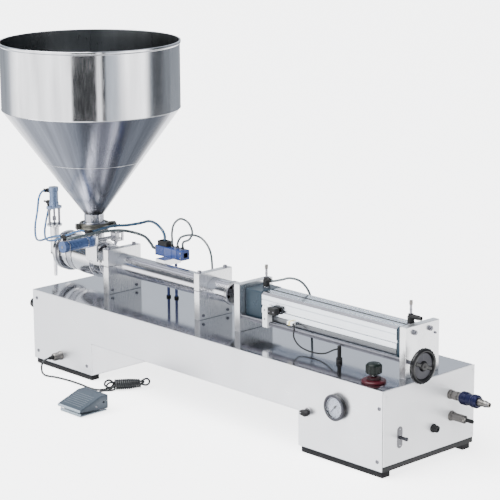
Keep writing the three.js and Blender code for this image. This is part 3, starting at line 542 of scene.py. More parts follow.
def curve_points(points, per_span=8):
    """Centripetal Catmull-Rom points, the same curve that the solids follow."""
    fixed = [np.array(p, float) for p in points]
    fixed = [2 * fixed[0] - fixed[1], *fixed, 2 * fixed[-1] - fixed[-2]]
    result = []
    for i in range(1, len(fixed) - 2):
        a, b, c, d = fixed[i - 1:i + 3]
        first, middle, last = (max(np.linalg.norm(q - p), 1e-6) ** 0.5 for p, q in ((a, b), (b, c), (c, d)))
        leave = ((b - a) / first - (c - a) / (first + middle) + (c - b) / middle) * middle
        arrive = ((c - b) / middle - (d - b) / (middle + last) + (d - c) / last) * middle
        for step in range(per_span):
            t = step / per_span
            result.append(
                b + leave * t + (-3 * b + 3 * c - 2 * leave - arrive) * t ** 2
                + (2 * b - 2 * c + leave + arrive) * t ** 3)
    return [Vector(p) for p in result + [fixed[-2]]]


def tube(points, radius, material, sides=20, closed=False):
    """A round tube along a line of close points."""
    points = [Vector(p) for p in points]
    count = len(points)
    if closed:
        tangents = [(points[(i + 1) % count] - points[i - 1]).normalized() for i in range(count)]
    else:
        tangents = [(points[min(i + 1, count - 1)] - points[max(i - 1, 0)]).normalized() for i in range(count)]
    side = tangents[0].orthogonal().normalized()
    verts = []
    for point, tangent in zip(points, tangents):
        side = (side - tangent * side.dot(tangent)).normalized()
        other = tangent.cross(side)
        for k in range(sides):
            turn = 2 * math.pi * k / sides
            verts.append(point + (side * math.cos(turn) + other * math.sin(turn)) * radius)
    faces = []
    for i in range(count if closed else count - 1):
        j = (i + 1) % count
        for k in range(sides):
            n = (k + 1) % sides
            faces.append((i * sides + k, i * sides + n, j * sides + n, j * sides + k))
    if not closed:
        faces += [tuple(range(sides)), tuple(range(count * sides - 1, (count - 1) * sides - 1, -1))]
    return smooth(mesh_object("tube", verts, faces, material), 50)


def cap_screw(material, radius, seat, axis, height=None):
    """A socket head screw: its seat, the way its head stands up, and a hexagon socket in the head."""
    height = height or radius * 1.1
    profile = [
        (0, height * 0.45), (radius * 0.52, height * 0.45), (radius * 0.52, height), (radius, height),
        (radius, 0), (0, 0)]
    return lathe(profile, material, seat, axis, 48, radius * 0.12, radius * 0.55)


def pan_screw(radius, seat, axis, material=SCREW_STEEL):
    """A domed screw with a cross recess."""
    dome = [
        (0, radius * 0.5), (radius * 0.55, radius * 0.46), (radius * 0.85, radius * 0.3), (radius, 0), (0, 0)]
    head = lathe(dome, material, seat, axis, 32, 0.15)
    axis = Vector(axis).normalized()
    side = axis.orthogonal().normalized()
    middle = Vector(seat) + axis * radius * 0.5
    slots = []
    for direction in (side, axis.cross(side)):
        across = axis.cross(direction)
        box_points = []
        for h in (-0.25, 0.25):
            for u, v in ((-0.55, -0.1), (0.55, -0.1), (0.55, 0.1), (-0.55, 0.1)):
                box_points.append(middle + (axis * h + direction * u + across * v) * radius)
        slots.append(mesh_object("slot", box_points, BOX_FACES, BORE))
    return carve(head, *slots)


def piece(name, body, parts, replaces=()):
    """Joins parts into one piece of the model, in the frame's metres."""
    with bpy.context.temp_override(
            active_object=parts[0], selected_editable_objects=parts, selected_objects=parts):
        if len(parts) > 1:
            bpy.ops.object.join()
    made = parts[0]
    made.name = name
    made.data.name = name
    made.data.transform(TO_FRAME)
    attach(made, body)
    if replaces:
        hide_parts(*replaces)
    return made


# ---- housing -------------------------------------------------------------------------------------
def make_housing():
    seam = -4.8
    leg = -LENGTH + LEFT_LEG
    outline = [
        (-LENGTH, 0), (leg, 0), (leg, BEAM_Z), (-RIGHT_LEG, BEAM_Z), (-RIGHT_LEG, 0), (seam, 0), (seam, HEIGHT),
        (-LENGTH, HEIGHT)]
    shell = slab(outline, "y", 0, DEPTH, HOUSING, 2.2, 4)
    paint(shell, DECK_STEEL, lambda centre, normal: centre.z > HEIGHT - 0.1 and normal.z > 0.9)
    # A black block behind the seam between shell and end cover, so the gap reads dark: painted shade.
    filler = block(seam - 0.5, -3.2, 1.2, DEPTH - 1.2, 1.2, HEIGHT - 1.2, BLACK_MATT, 0.3)
    sill = block(-4.0, -0.8, 2, DEPTH - 2, 0.6, 13.6, BLACK_MATT, 0.6)
    piece("housing_sheet", "frame", [shell, filler, sill], ["housing_shell"])
    cover = block(-3, 0, 0, DEPTH, 14.5, HEIGHT, COVER, 0.9)
    corners = [pan_screw(3.0, (-0.9, y, z), X, COVER) for y in (9, DEPTH - 9) for z in (26, 188)]
    piece("end_cover_sheet", "frame", [cover, *corners], ["end_cover"])


def make_rails():
    width, inset, end_inset = 28.0, 4.0, 8.0
    legs = {
        "right": (-RIGHT_LEG + end_inset, -end_inset),
        "left": (-LENGTH + end_inset, -LENGTH + LEFT_LEG - end_inset)}
    for side, (x0, x1) in legs.items():
        for row, y in (("front", inset), ("rear", DEPTH - inset - width)):
            profile = [(y + 1.5, FLOOR), (y + width - 1.5, FLOOR), (y + width, FLOOR + 4)]
            for groove in (5.5, 9.5):
                profile += [
                    (y + width, FLOOR + groove), (y + width - 1, FLOOR + groove + 0.5),
                    (y + width - 1, FLOOR + groove + 1.5), (y + width, FLOOR + groove + 2)]
            profile += [(y + width, -0.4), (y, -0.4), (y, FLOOR + 4)]
            strip = slab(profile, "x", x0, x1, RAIL, 0.4)
            name = f"rail_{row}_{side}"
            piece(name + "_rubber", "frame", [strip], [name])


def make_face_screws():
    places = [(-15, 156.5), (-20, 24), (-1112, 24), (-1330, 24), (-1330, 178)]
    heads = [pan_screw(5.2, (x, 0, z), -Y) for x, z in places]
    rear = [pan_screw(5.2, (x, DEPTH, z), Y) for x, z in places]
    top = [pan_screw(5.0, (x, y, HEIGHT), Z) for x, y in ((-431, 39), (-900, 300), (-420, 300))]
    piece("housing_screws", "frame", heads + rear + top)


# ---- plates --------------------------------------------------------------------------------------
def bore_tool(radius, x0, x1, y=AXIS_Y, z=AXIS_Z):
    return rod(BORE, radius, (x0, y, z), (x1, y, z), 0, 72)


def make_clamps():
    thick, split = 20.0, 0.5
    for number, x in ((1, -1166.0), (2, -788.0)):
        lower = block(x, x + thick, PLATE_FRONT, PLATE_BACK, DECK, AXIS_Z - split, PLATE, 1.2)
        upper = block(x, x + thick, PLATE_FRONT, PLATE_BACK, AXIS_Z + split, PLATE_TOP, PLATE, 1.2)
        if number == 1:
            ledge = block(x - 31, x + 1, AXIS_Y - 34, AXIS_Y + 34, DECK, AXIS_Z - 24, PLATE, 1.0)
            ledge = carve(ledge, bore_tool(41.3, x - 32, x - 5.7), bore_tool(30.3, x - 32, x + 2))
        lower = carve(lower, bore_tool(30.3, x - 1, x + thick + 1))
        upper = carve(upper, bore_tool(30.3, x - 1, x + thick + 1))
        bolts = [
            cap_screw(SCREW_STEEL, 5.5, (x + thick / 2, y, PLATE_TOP), Z) for y in (AXIS_Y - 46, AXIS_Y + 46)]
        feet = [
            cap_screw(SCREW_STEEL, 4, (x + thick, AXIS_Y + side, DECK + 12), X, 4) for side in (-44, 44)]
        extra = [ledge] if number == 1 else []
        piece(f"clamp_{number}_base", "frame", [lower, *extra, *feet], [f"clamp_{number}_lower"])
        piece(f"clamp_{number}_cap", "frame", [upper, *bolts], [f"clamp_{number}_upper"])


def make_cylinder_plates():
    thick = 20.0
    spread = 28.0
    x = -632.0
    front = block(x, x + thick, PLATE_FRONT, PLATE_BACK, DECK, PLATE_TOP, PLATE, 1.2)
    front = carve(front, bore_tool(12.3, x - 1, x + thick + 1), bore_tool(5.3, x - 1, x + thick + 1, 122, 241))
    seal = ring(SEAL, 10.3, 16, (x - 1.2, AXIS_Y, AXIS_Z), (x + 0.5, AXIS_Y, AXIS_Z))
    bolts = [
        cap_screw(SCREW_STEEL, 6, (x, AXIS_Y + a, AXIS_Z + b), -X, 6)
        for a in (-spread, spread) for b in (-spread, spread)]
    piece("cylinder_plate_ground", "frame", [front, seal, *bolts], ["cylinder_plate"])
    x = -54.0
    end = block(x, x + thick, PLATE_FRONT, PLATE_BACK, DECK, PLATE_TOP, PLATE, 1.2)
    end = carve(end, bore_tool(5.3, x - 1, x + thick + 1, 122, 241))
    nuts = []
    for a in (-spread, spread):
        nuts.append(hexagon(SCREW_STEEL, 12, (x + thick, AXIS_Y + a, 311), (x + thick + 6, AXIS_Y + a, 311)))
        nuts.append(rod(SCREW_STEEL, 3.4, (x + thick + 5, AXIS_Y + a, 311), (x + thick + 9, AXIS_Y + a, 311)))
    dots = [cap_screw(SCREW_STEEL, 3, (x + thick, y, z), X, 3) for y, z in ((216, 296), (216, 226), (180, 226))]
    piece("end_plate_ground", "frame", [end, *nuts, *dots], ["end_plate"])


# ---- product cylinder ----------------------------------------------------------------------------
def make_product_cylinder():
    outer, inner, left, right = 30.0, 27.5, -1196.0, -690.0
    profile = [
        (inner, left), (outer, left), (outer, right - 10), (32.5, right - 10), (32.5, right), (inner, right),
        (inner, right - 40), (inner, left)]
    barrel = lathe(profile, BARREL, ON_AXIS, X, 128, 0.5)
    axis_point = Vector(ON_AXIS)

    def is_bore(centre, normal):
        return (centre - axis_point - X * centre.x).dot(normal) < 0 and abs(normal.x) < 0.5

    # Inside the barrel: near-black deeper in as painted shade, a turned-steel band, and pale satin over the
    # first 41 mm as a painted highlight ring at the mouth.
    paint(barrel, BORE, is_bore)
    paint(barrel, TURNED, lambda centre, normal: is_bore(centre, normal) and centre.x > right - 45)
    paint(barrel, COVER, lambda centre, normal: is_bore(centre, normal) and centre.x > right - 41)
    paint(barrel, SILVER, lambda centre, normal: centre.x > right - 10.5 and not is_bore(centre, normal))
    piece("barrel_tube", "frame", [barrel], ["product_barrel"])
    left, length = -1175.0, 36.0
    crown = [(0, left), (27.2, left)]
    for start in (6.0, 15.0, 25.0):
        crown += [
            (27.2, left + start), (25.2, left + start), (25.2, left + start + 4), (27.2, left + start + 4)]
    crown += [(27.2, left + length), (0, left + length)]
    piece("piston_crown", "piston", [lathe(crown, SEAL, ON_AXIS, X, 96, 0.4)],
          ["product_piston"])
    shaft = [
        (0, left + length + 0.3), (9, left + length + 0.3), (10, left + length + 1.3), (10, -543), (31.5, -543),
        (31.5, -536), (29.5, -536), (29.5, -530), (31.5, -530), (31.5, -523), (10, -523), (10, -515), (0, -515)]
    rod_part = lathe(shaft, TURNED, ON_AXIS, X, 96, 0.4)
    nut = hexagon(SCREW_STEEL, 26, (left + length + 0.5, AXIS_Y, AXIS_Z), (left + length + 10, AXIS_Y, AXIS_Z))
    piece("piston_shaft", "piston", [rod_part, nut], ["piston_rod"])


# ---- valve ---------------------------------------------------------------------------------------
LEVER_LEAN = math.radians(30)


def slot_tool():
    half = math.degrees(LEVER_LEAN) + 16
    outline = [(AXIS_Y, AXIS_Z)] + [(y, z) for y, z in arc((AXIS_Y, AXIS_Z), 70, 90 - half, 90 + half, 16)]
    return slab(outline, "x", LEVER_X - 7, LEVER_X + 7, BORE, 0)


def make_valve():
    left, right = -1386.0, -1172.0
    drum = [
        (0, left), (57, left), (57, left + 14), (47, left + 14), (47, left + 20), (50, left + 20),
        (50, left + 38), (48.6, left + 39), (48.6, left + 42), (50, left + 43), (50, left + 62),
        (48.6, left + 63), (48.6, left + 66), (50, left + 67), (50, left + 84), (53, left + 84),
        (53, LEVER_X - 24), (46, LEVER_X - 24), (46, LEVER_X + 14), (41, LEVER_X + 14), (41, right), (0, right)]
    body = lathe(drum, POLISHED, ON_AXIS, X, 128, 0.9)
    neck_tool = rod(BORE, 25.5, (INLET_X, AXIS_Y, AXIS_Z), (INLET_X, AXIS_Y, 380), 0, 72)
    body = carve(body, bore_tool(30.3, left - 1, right + 1), slot_tool(), neck_tool)
    # The grooves are painted near-black as painted shade; the flange rim in dark steel and one middle band in
    # duller steel are painted reflection, the dark bands of the polished drum.
    paint(body, BORE, lambda centre, normal: math.hypot(centre.y - AXIS_Y, centre.z - AXIS_Z) < 49.2
          and left + 14.5 < centre.x < left + 68 and abs(normal.x) < 0.9)
    paint(body, DARK_STEEL, lambda centre, normal: left + 1 < centre.x < left + 13 and abs(normal.x) < 0.5)
    paint(body, TURNED, lambda centre, normal: left + 43.5 < centre.x < left + 62.5)
    joint = 368.85
    neck = lathe(
        [(25.5, AXIS_Z + 45), (28, AXIS_Z + 45), (28, joint - 12), (35, joint - 6), (35, joint), (25.5, joint),
         (25.5, AXIS_Z + 45)], POLISHED, (INLET_X, AXIS_Y, 0), Z, 96, 0.6)
    seam = []
    for x, y in circle_spots(96, 28.6):
        seam.append((INLET_X + x, AXIS_Y + y, AXIS_Z + math.sqrt(53 ** 2 - y ** 2) + 0.4))
    weld = tube(seam, 1.8, SCREW_STEEL, 12, closed=True)
    plate = block(LEVER_X - 24, LEVER_X + 24, 104.4, 112, AXIS_Z + 8, ACTUATOR_Z + 20, PLATE, 1.0)
    plate = carve(plate, rod(BORE, 8.3, (LEVER_X, 100, ACTUATOR_Z), (LEVER_X, 116, ACTUATOR_Z), 0, 48))
    web = block(LEVER_X - 22, LEVER_X + 12, 111, 130, AXIS_Z + 8, AXIS_Z + 30, PLATE, 1.0)
    screws = [cap_screw(SCREW_STEEL, 3.4, (LEVER_X + dx, 112, ACTUATOR_Z + 11), Y, 3.5) for dx in (-17, 17)]
    flange = []
    for y, z in circle_spots(6, 52, math.radians(30)):
        spot = Vector((left + 14, AXIS_Y + y, AXIS_Z + z))
        flange.append(hexagon(SCREW_STEEL, 7, spot, spot + X * 4, 0.4))
    piece(
        "valve_drum", "frame", [body, neck, weld, plate, web, *screws, *flange],
        ["valve_body"])


def make_rotor():
    core = lathe(
        [(0, -1300), (30, -1300), (30, -1202), (0, -1202)], DARK_STEEL, ON_AXIS, X, 96, 0.8)
    lean = Vector((0, math.sin(LEVER_LEAN), math.cos(LEVER_LEAN)))
    centre = Vector((LEVER_X, AXIS_Y, AXIS_Z))
    arm = rod(TURNED, 5, centre + lean * 24, centre + lean * 72, 1.0)
    hub = hexagon(SCREW_STEEL, 13, centre + lean * 28, centre + lean * 33)
    pin_at = centre + lean * 68
    pin = rod(TURNED, 4, pin_at - X * 11, pin_at + X * 11, 0.8)
    piece("rotor_core", "rotor", [core, arm, hub, pin], ["valve_rotor"])


def push_fitting(start, axis, length, radius):
    """A push-in fitting: its round body and the release collar at its mouth."""
    start, axis = Vector(start), Vector(axis).normalized()
    body = rod(BLACK_MATT, radius, start, start + axis * length * 0.78, 0.7)
    mouth = ring(
        BLACK_GLOSS, radius * 0.5, radius * 0.86, start + axis * length * 0.7, start + axis * length, 0.4, 40)
    return [body, mouth]


def make_actuator():
    front, back, nose = 4.0, 104.0, 115.0
    profile = [
        (0, front), (16.5, front), (16.5, front + 14), (14.8, front + 14), (14.8, back - 14), (16.5, back - 14),
        (16.5, back), (8, back), (8, nose), (0, nose)]
    body = lathe(profile, LAVENDER, (LEVER_X, 0, ACTUATOR_Z), Y, 72, 0.8)
    body = carve(
        body, rod(BORE, 10.4, (LEVER_X, front + 5, ACTUATOR_Z), (LEVER_X, back - 10, ACTUATOR_Z), 0, 48),
        rod(BORE, 5.3, (LEVER_X, back - 12, ACTUATOR_Z), (LEVER_X, nose + 1, ACTUATOR_Z), 0, 40))
    bands = [ring(SILVER, 14.5, 15.3, (LEVER_X, y, ACTUATOR_Z), (LEVER_X, y + 2, ACTUATOR_Z)) for y in (20, 86)]
    parts = [body, *bands, cap_screw(SCREW_STEEL, 4, (LEVER_X, front, ACTUATOR_Z), -Y, 0.8)]
    ports = {12.0: (-X, X), 97.0: (-X, Y)}
    for y, directions in ports.items():
        parts.append(hexagon(SILVER, 9, (LEVER_X, y, ACTUATOR_Z + 14), (LEVER_X, y, ACTUATOR_Z + 19)))
        parts.append(rod(BLACK_MATT, 5, (LEVER_X, y, ACTUATOR_Z + 17), (LEVER_X, y, FITTING_Z + 5), 1.0))
        for direction in directions:
            parts += push_fitting((LEVER_X, y, FITTING_Z), direction, 14 if direction != Y else 13, 4.9)
    piece("actuator_body", "frame", parts, ["actuator_cylinder"])
    pin_y = AXIS_Y + 68 * math.sin(LEVER_LEAN)
    z = ACTUATOR_Z
    fork = block(LEVER_X - 12, LEVER_X + 12, pin_y - 17, pin_y + 13, z - 13, z + 13, TURNED, 1.4)
    fork = carve(
        fork,
        block(LEVER_X - 7.3, LEVER_X + 7.3, pin_y - 12, pin_y + 20, z - 20, z + 20, BORE, 0),
        block(LEVER_X - 20, LEVER_X + 20, pin_y - 6, pin_y + 6, z - 10.5, z + 9.5, BORE, 2.4))
    bar = rod(TURNED, 5, (LEVER_X, 84, z), (LEVER_X, pin_y - 16, z), 0.5)
    head = rod(SEAL, 10, (LEVER_X, 78, z), (LEVER_X, 86, z), 0.5)
    piece("actuator_fork", "actuator", [fork, bar, head], ["actuator_rod"])


# ---- outlet and nozzle ---------------------------------------------------------------------------
def make_outlet():
    x = NOZZLE_X
    cap = -1386.3
    block_bottom, block_top, tip = 262.0, 345.0, 190.0
    lid = lathe(
        [(9, cap - 12), (57, cap - 12), (57, cap), (9, cap), (9, cap - 12)], POLISHED, ON_AXIS, X, 128, 1.2)
    boss = lathe(
        [(9, cap - 20), (22, cap - 20), (22, cap - 11), (9, cap - 11), (9, cap - 20)], POLISHED,
        ON_AXIS, X, 96, 1.0)
    pipe = ring(POLISHED, 9, 13, (x + 8, AXIS_Y, AXIS_Z), (cap - 12, AXIS_Y, AXIS_Z), 0.6, 96)
    upright = lathe(
        [(8.3, block_bottom + 2), (8.3, block_top), (22, block_top), (22, block_top - 6), (13, block_top - 6),
         (13, block_bottom), (9, block_bottom), (9, block_bottom - 10), (6.4, block_bottom - 12),
         (5.6, tip + 6), (4.6, tip), (3.6, tip), (3.6, block_bottom + 2), (8.3, block_bottom + 2)],
        POLISHED, (x, AXIS_Y, 0), Z, 96, 0.6)
    nut = hexagon(NICKEL, 24, (x, AXIS_Y, block_bottom - 6), (x, AXIS_Y, block_bottom + 5))
    nut = carve(nut, rod(BORE, 8.6, (x, AXIS_Y, block_bottom - 9), (x, AXIS_Y, block_bottom + 8), 0, 40))
    bolts = []
    for y, z in circle_spots(6, 49):
        bolts.append(cap_screw(SCREW_STEEL, 4, (cap - 12, AXIS_Y + y, AXIS_Z + z), -X, 4))
    small = [cap_screw(SCREW_STEEL, 2.2, (x + a, AXIS_Y, block_top), Z, 1.6) for a in (-17.5, 17.5)]
    piece(
        "outlet_pipework", "frame", [lid, boss, pipe, upright, nut, *bolts, *small],
        ["outlet_pipe"])


def make_nozzle():
    x, tip = NOZZLE_X, 190.0
    axis = [
        (0, tip + 2), (2.2, tip + 2), (3.1, tip + 8), (3.1, 345 - 14), (8, 345 - 14), (8, 345 - 4),
        (3.1, 345 - 4), (3.1, AXIS_Z + 140), (0, AXIS_Z + 140)]
    needle = lathe(axis, SCREW_STEEL, (x, AXIS_Y, 0), Z, 48, 0.4)
    nuts = [
        hexagon(SCREW_STEEL, 10.2, (x, AXIS_Y, AXIS_Z + low), (x, AXIS_Y, AXIS_Z + low + 5.6), 0.5)
        for low in (76, 82.2)]
    piece("nozzle_needle", "plunger", [needle, *nuts], ["nozzle_plunger"])

    bottom, top = AXIS_Z + 117, AXIS_Z + 175
    body = lathe(
        [(3.4, bottom), (14, bottom), (14, bottom + 12), (12.8, bottom + 13), (12.8, top - 13), (14, top - 12),
         (14, top), (3.4, top), (3.4, bottom)], MINI_BLUE, (x, AXIS_Y, 0), Z, 72, 0.9)
    crown = lathe(
        [(3.4, top - 1), (7, top - 1), (6, top), (3.4, top), (3.4, top - 1)], SILVER, (x, AXIS_Y, 0), Z, 48,
        0.2)
    foot = block(x - 9, x + 9, AXIS_Y - 22, AXIS_Y + 22, bottom - 6, bottom + 2, MINI_BLUE, 1.0)
    foot = carve(foot, rod(BORE, 3.5, (x, AXIS_Y, bottom - 8), (x, AXIS_Y, bottom + 4), 0, 40))
    parts = [body, crown, foot]
    for side in (-17.5, 17.5):
        parts.append(rod(SCREW_STEEL, 3.6, (x, AXIS_Y + side, 345.3), (x, AXIS_Y + side, bottom - 4), 0.5))
        parts.append(
            hexagon(SCREW_STEEL, 9, (x, AXIS_Y + side, bottom - 10), (x, AXIS_Y + side, bottom - 6), 0.4))
    heights = (AXIS_Z + 161, AXIS_Z + 126)
    for z in heights:
        parts.append(rod(BLACK_MATT, 6.5, (x - 12, AXIS_Y, z), (x - 30, AXIS_Y, z), 1.2))
        parts.append(hexagon(SILVER, 10, (x - 29, AXIS_Y, z), (x - 33, AXIS_Y, z), 0.5))
        parts.append(rod(NICKEL, 3, (x - 32, AXIS_Y, z), (x - 46, AXIS_Y, z), 0.8))
    parts += push_fitting((x - 26, AXIS_Y, heights[0]), -Y, 13, 4.9)
    parts += push_fitting((x - 26, AXIS_Y, heights[1]), -Z, 13, 4.9)
    piece("nozzle_lift", "frame", parts, ["nozzle_cylinder"])


# ---- hopper --------------------------------------------------------------------------------------
SEAM_ANGLE = math.radians(-34)


def make_hopper():
    wall, top, cone_top, cone_bottom, bottom = 2.5, 895.5, 707.7, 405.0, 369.15
    outside = [
        (25.5, bottom), (35, bottom), (35, bottom + 6), (28, bottom + 12), (28, cone_bottom), (250, cone_top),
        (250, top - 9), (252.6, top - 7.5), (252.7, top - 1), (251, top), (250 - wall, top - 0.4),
        (250 - wall, cone_top + 1), (25.5, cone_bottom + 1), (25.5, bottom)]
    shell = lathe(outside, HOPPER_OUT, (INLET_X, AXIS_Y, 0), Z, 256, 1.2)
    middle = Vector((INLET_X, AXIS_Y, 0))

    def outward(centre, normal):
        return (centre - middle - Z * centre.z).normalized().dot(normal)

    # Inward-facing faces take the dark inside steel, painted shade inside the hopper.
    paint(shell, HOPPER_IN_SHADED, lambda centre, normal: outward(centre, normal) < -0.1)
    # Outward faces below the cone's top edge take that darker copy: painted shade.
    paint(shell, HOPPER_CONE_SHADED, lambda centre, normal: outward(centre, normal) > 0.1 and centre.z < cone_top - 2)
    seam = tube(
        [middle + heading(SEAM_ANGLE) * 249.2 + Z * z for z in (cone_top + 2, top - 10)], 1.4, HOPPER_OUT, 16)
    inner = [
        tube([middle + heading(a) * 246.9 + Z * z for z in (cone_top + 2, top - 3)], 1.1, SCREW_STEEL, 12)
        for a in (math.radians(141), math.radians(96))]
    edge = [middle + Vector((x, y, cone_top)) for x, y in circle_spots(192, 249.6)]
    bead = tube(edge, 1.0, HOPPER_OUT, 10, closed=True)
    join_z = 560.0
    join_r = 28 + (join_z - cone_bottom) * (250 - 28) / (cone_top - cone_bottom)
    join = [middle + Vector((x, y, join_z)) for x, y in circle_spots(160, join_r - 0.3)]
    band = tube(join, 0.8, HOPPER_OUT, 10, closed=True)
    piece("hopper_sheet", "frame", [shell, seam, *inner, bead, band], ["hopper"])


def make_neck_clamp():
    turn = math.radians(65)
    radial = heading(turn)
    across = Z.cross(radial)
    middle = Vector((INLET_X, AXIS_Y, 369.0))
    profile = [
        (35.3, -10), (41.5, -10), (43, -7), (43, -3), (42, -2), (42, 2), (43, 3), (43, 7), (41.5, 10),
        (35.3, 10), (35.3, -10)]
    collar = lathe(profile, CLAMP, middle, Z, 128, 0.6)

    def oriented(x0, x1, y0, y1, z0, z1, edge):
        made = block(x0, x1, y0, y1, z0, z1, CLAMP, edge)
        made.data.transform(Matrix.Translation(middle) @ Matrix.Rotation(turn, 4, "Z"))
        return made

    ears = [oriented(41, 63, -9, -1.5, -8, 8, 2.2), oriented(41, 63, 1.5, 9, -8, 8, 2.2)]
    knuckle = oriented(-54, -41, -8, 8, -8, 8, 2.2)
    bolt_at = middle + radial * 57
    bolt = rod(SCREW_STEEL, 3, bolt_at - across * 26, bolt_at + across * 12, 0.5)
    head = hexagon(SCREW_STEEL, 10, bolt_at + across * 8.5, bolt_at + across * 13, 0.5)
    hinge = rod(SCREW_STEEL, 2.6, middle - radial * 49 - Z * 9.5, middle - radial * 49 + Z * 9.5, 0.5)
    piece(
        "neck_clamp_ring", "frame", [collar, *ears, knuckle, bolt, head, hinge], ["neck_clamp"])

    hub = ring(CLAMP, 3.3, 6.5, bolt_at - across * 21, bolt_at - across * 10, 0.8, 48)
    wings = []
    for side in (-1, 1):
        outline = [(4, -2.2), (9, -2.4)] + arc((11.5, 0), 3.3, -80, 80, 6) + [(9, 2.4), (4, 2.2)]
        wing = slab([(side * a, b) for a, b in outline], "y", -21, -15, CLAMP, 0.8)
        wing.data.transform(Matrix.Translation(bolt_at) @ Matrix.Rotation(turn, 4, "Z"))
        wings.append(wing)
    piece("wing_nut_cast", "wing", [hub, *wings], ["wing_nut"])


# ---- air cylinder --------------------------------------------------------------------------------
def flow_control(x, reach):
    z = AXIS_Z + 60
    sign = X if reach > 0 else -X
    parts = [
        hexagon(SILVER, 17, (x, AXIS_Y, AXIS_Z + 37), (x, AXIS_Y, AXIS_Z + 43)),
        rod(BLACK_MATT, 8.8, (x, AXIS_Y, AXIS_Z + 42), (x, AXIS_Y, z), 1.2),
        rod(BLACK_MATT, 7, (x, AXIS_Y, z - 1), (x, AXIS_Y, z + 6), 0.8),
    ]
    return parts + push_fitting((x, AXIS_Y, z), sign, abs(reach), 6)


def cap_block(x0, x1):
    half = 37.5
    body = block(x0, x1, AXIS_Y - half, AXIS_Y + half, AXIS_Z - half, AXIS_Z + half, CAP_PAINT, 4.0, 5)
    return body


def make_air_cylinder():
    spread = 28.0
    front = cap_block(-611.7, -549.3)
    front = carve(front, bore_tool(10.3, -613, -548))
    tie = [
        rod(SCREW_STEEL, 4, (-548.9, AXIS_Y + a, AXIS_Z + b), (-552, AXIS_Y + a, AXIS_Z + b), 0.4)
        for a in (-spread, spread) for b in (-spread, spread)]
    piece("air_cap_front", "frame", [front, *tie, *flow_control(-570, 18)], ["air_front_cap"])
    rear = cap_block(-82.0, -54.3)
    piece("air_cap_rear", "frame", [rear, *flow_control(-70, 34)], ["air_rear_cap"])
    for name, x in (("front", -570.0), ("rear", -70.0)):
        z = AXIS_Z + 66.3
        stem = rod(SCREW_STEEL, 3.2, (x, AXIS_Y, z), (x, AXIS_Y, z + 24), 0.4)
        lock = hexagon(SCREW_STEEL, 6.3, (x, AXIS_Y, z + 8), (x, AXIS_Y, z + 12), 0.3)
        knob = lathe(
            [(0, z + 22), (4.4, z + 22), (4.4, z + 33), (0, z + 33)], NICKEL, (x, AXIS_Y, 0), Z, 40, 0.8)
        knob = carve(knob, block(x - 5, x + 5, AXIS_Y - 0.5, AXIS_Y + 0.5, z + 31, z + 34, BORE, 0))
        piece(f"flow_spindle_{name}_turned", f"spindle_{name}", [stem, lock, knob],
              [f"flow_spindle_{name}"])

    half, slot_half, depth, chamfer = 37.0, 4.0, 3.0, 6.0
    quarter = [
        (half, -half + chamfer), (half, -19.5), (half - 1.2, -18.8), (half - 1.2, -18.2), (half, -17.5),
        (half, -slot_half), (half - depth, -slot_half), (half - depth, slot_half), (half, slot_half),
        (half, 17.5), (half - 1.2, 18.2), (half - 1.2, 18.8), (half, 19.5), (half, half - chamfer)]
    outline = []
    for quarter_turn in range(4):
        c, s = round(math.cos(quarter_turn * math.pi / 2)), round(math.sin(quarter_turn * math.pi / 2))
        outline += [(AXIS_Y + y * c - z * s, AXIS_Z + y * s + z * c) for y, z in quarter]
    profile = slab(outline, "x", -549.0, -82.3, ANODISED, 0.3)
    profile = carve(profile, bore_tool(31.8, -550, -81))
    # The top slot and grooves are painted dark steel: painted shade in the recesses.
    paint(profile, DARK_STEEL, lambda centre, normal: half - 4 < centre.z - AXIS_Z < half - 0.8)

    # The lower front band of the tube takes the darker tone: painted shade and reflection.
    def is_painted_shade_band(centre, normal):
        return centre.y < AXIS_Y - half + chamfer and centre.z < AXIS_Z - 18.5

    paint(profile, TUBE_PAINTED_SHADE, is_painted_shade_band)
    piece("air_tube_profile", "frame", [profile], ["air_barrel"])


# ---- stroke adjustment ---------------------------------------------------------------------------
SCREW_Y, SCREW_Z = 122.0, 241.0


def threaded_bar(start, end, radius, lead, depth, material, sides=24, per_turn=8):
    """A bar with a helical thread along x."""
    rings = int((end - start) / lead * per_turn)
    points = []
    for i in range(rings + 1):
        x = start + (end - start) * i / rings
        for k in range(sides):
            turn = k / sides
            wave = abs(((x / lead - turn) % 1.0) * 2 - 1)
            reach = radius - depth * min(1.0, wave * 1.3)
            angle = 2 * math.pi * turn
            points.append((x, SCREW_Y + reach * math.cos(angle), SCREW_Z + reach * math.sin(angle)))
    faces = [
        (i * sides + k, i * sides + (k + 1) % sides, (i + 1) * sides + (k + 1) % sides, (i + 1) * sides + k)
        for i in range(rings) for k in range(sides)]
    faces += [tuple(range(sides)), tuple(range((rings + 1) * sides - 1, rings * sides - 1, -1))]
    return smooth(mesh_object("thread", points, faces, material), 60)


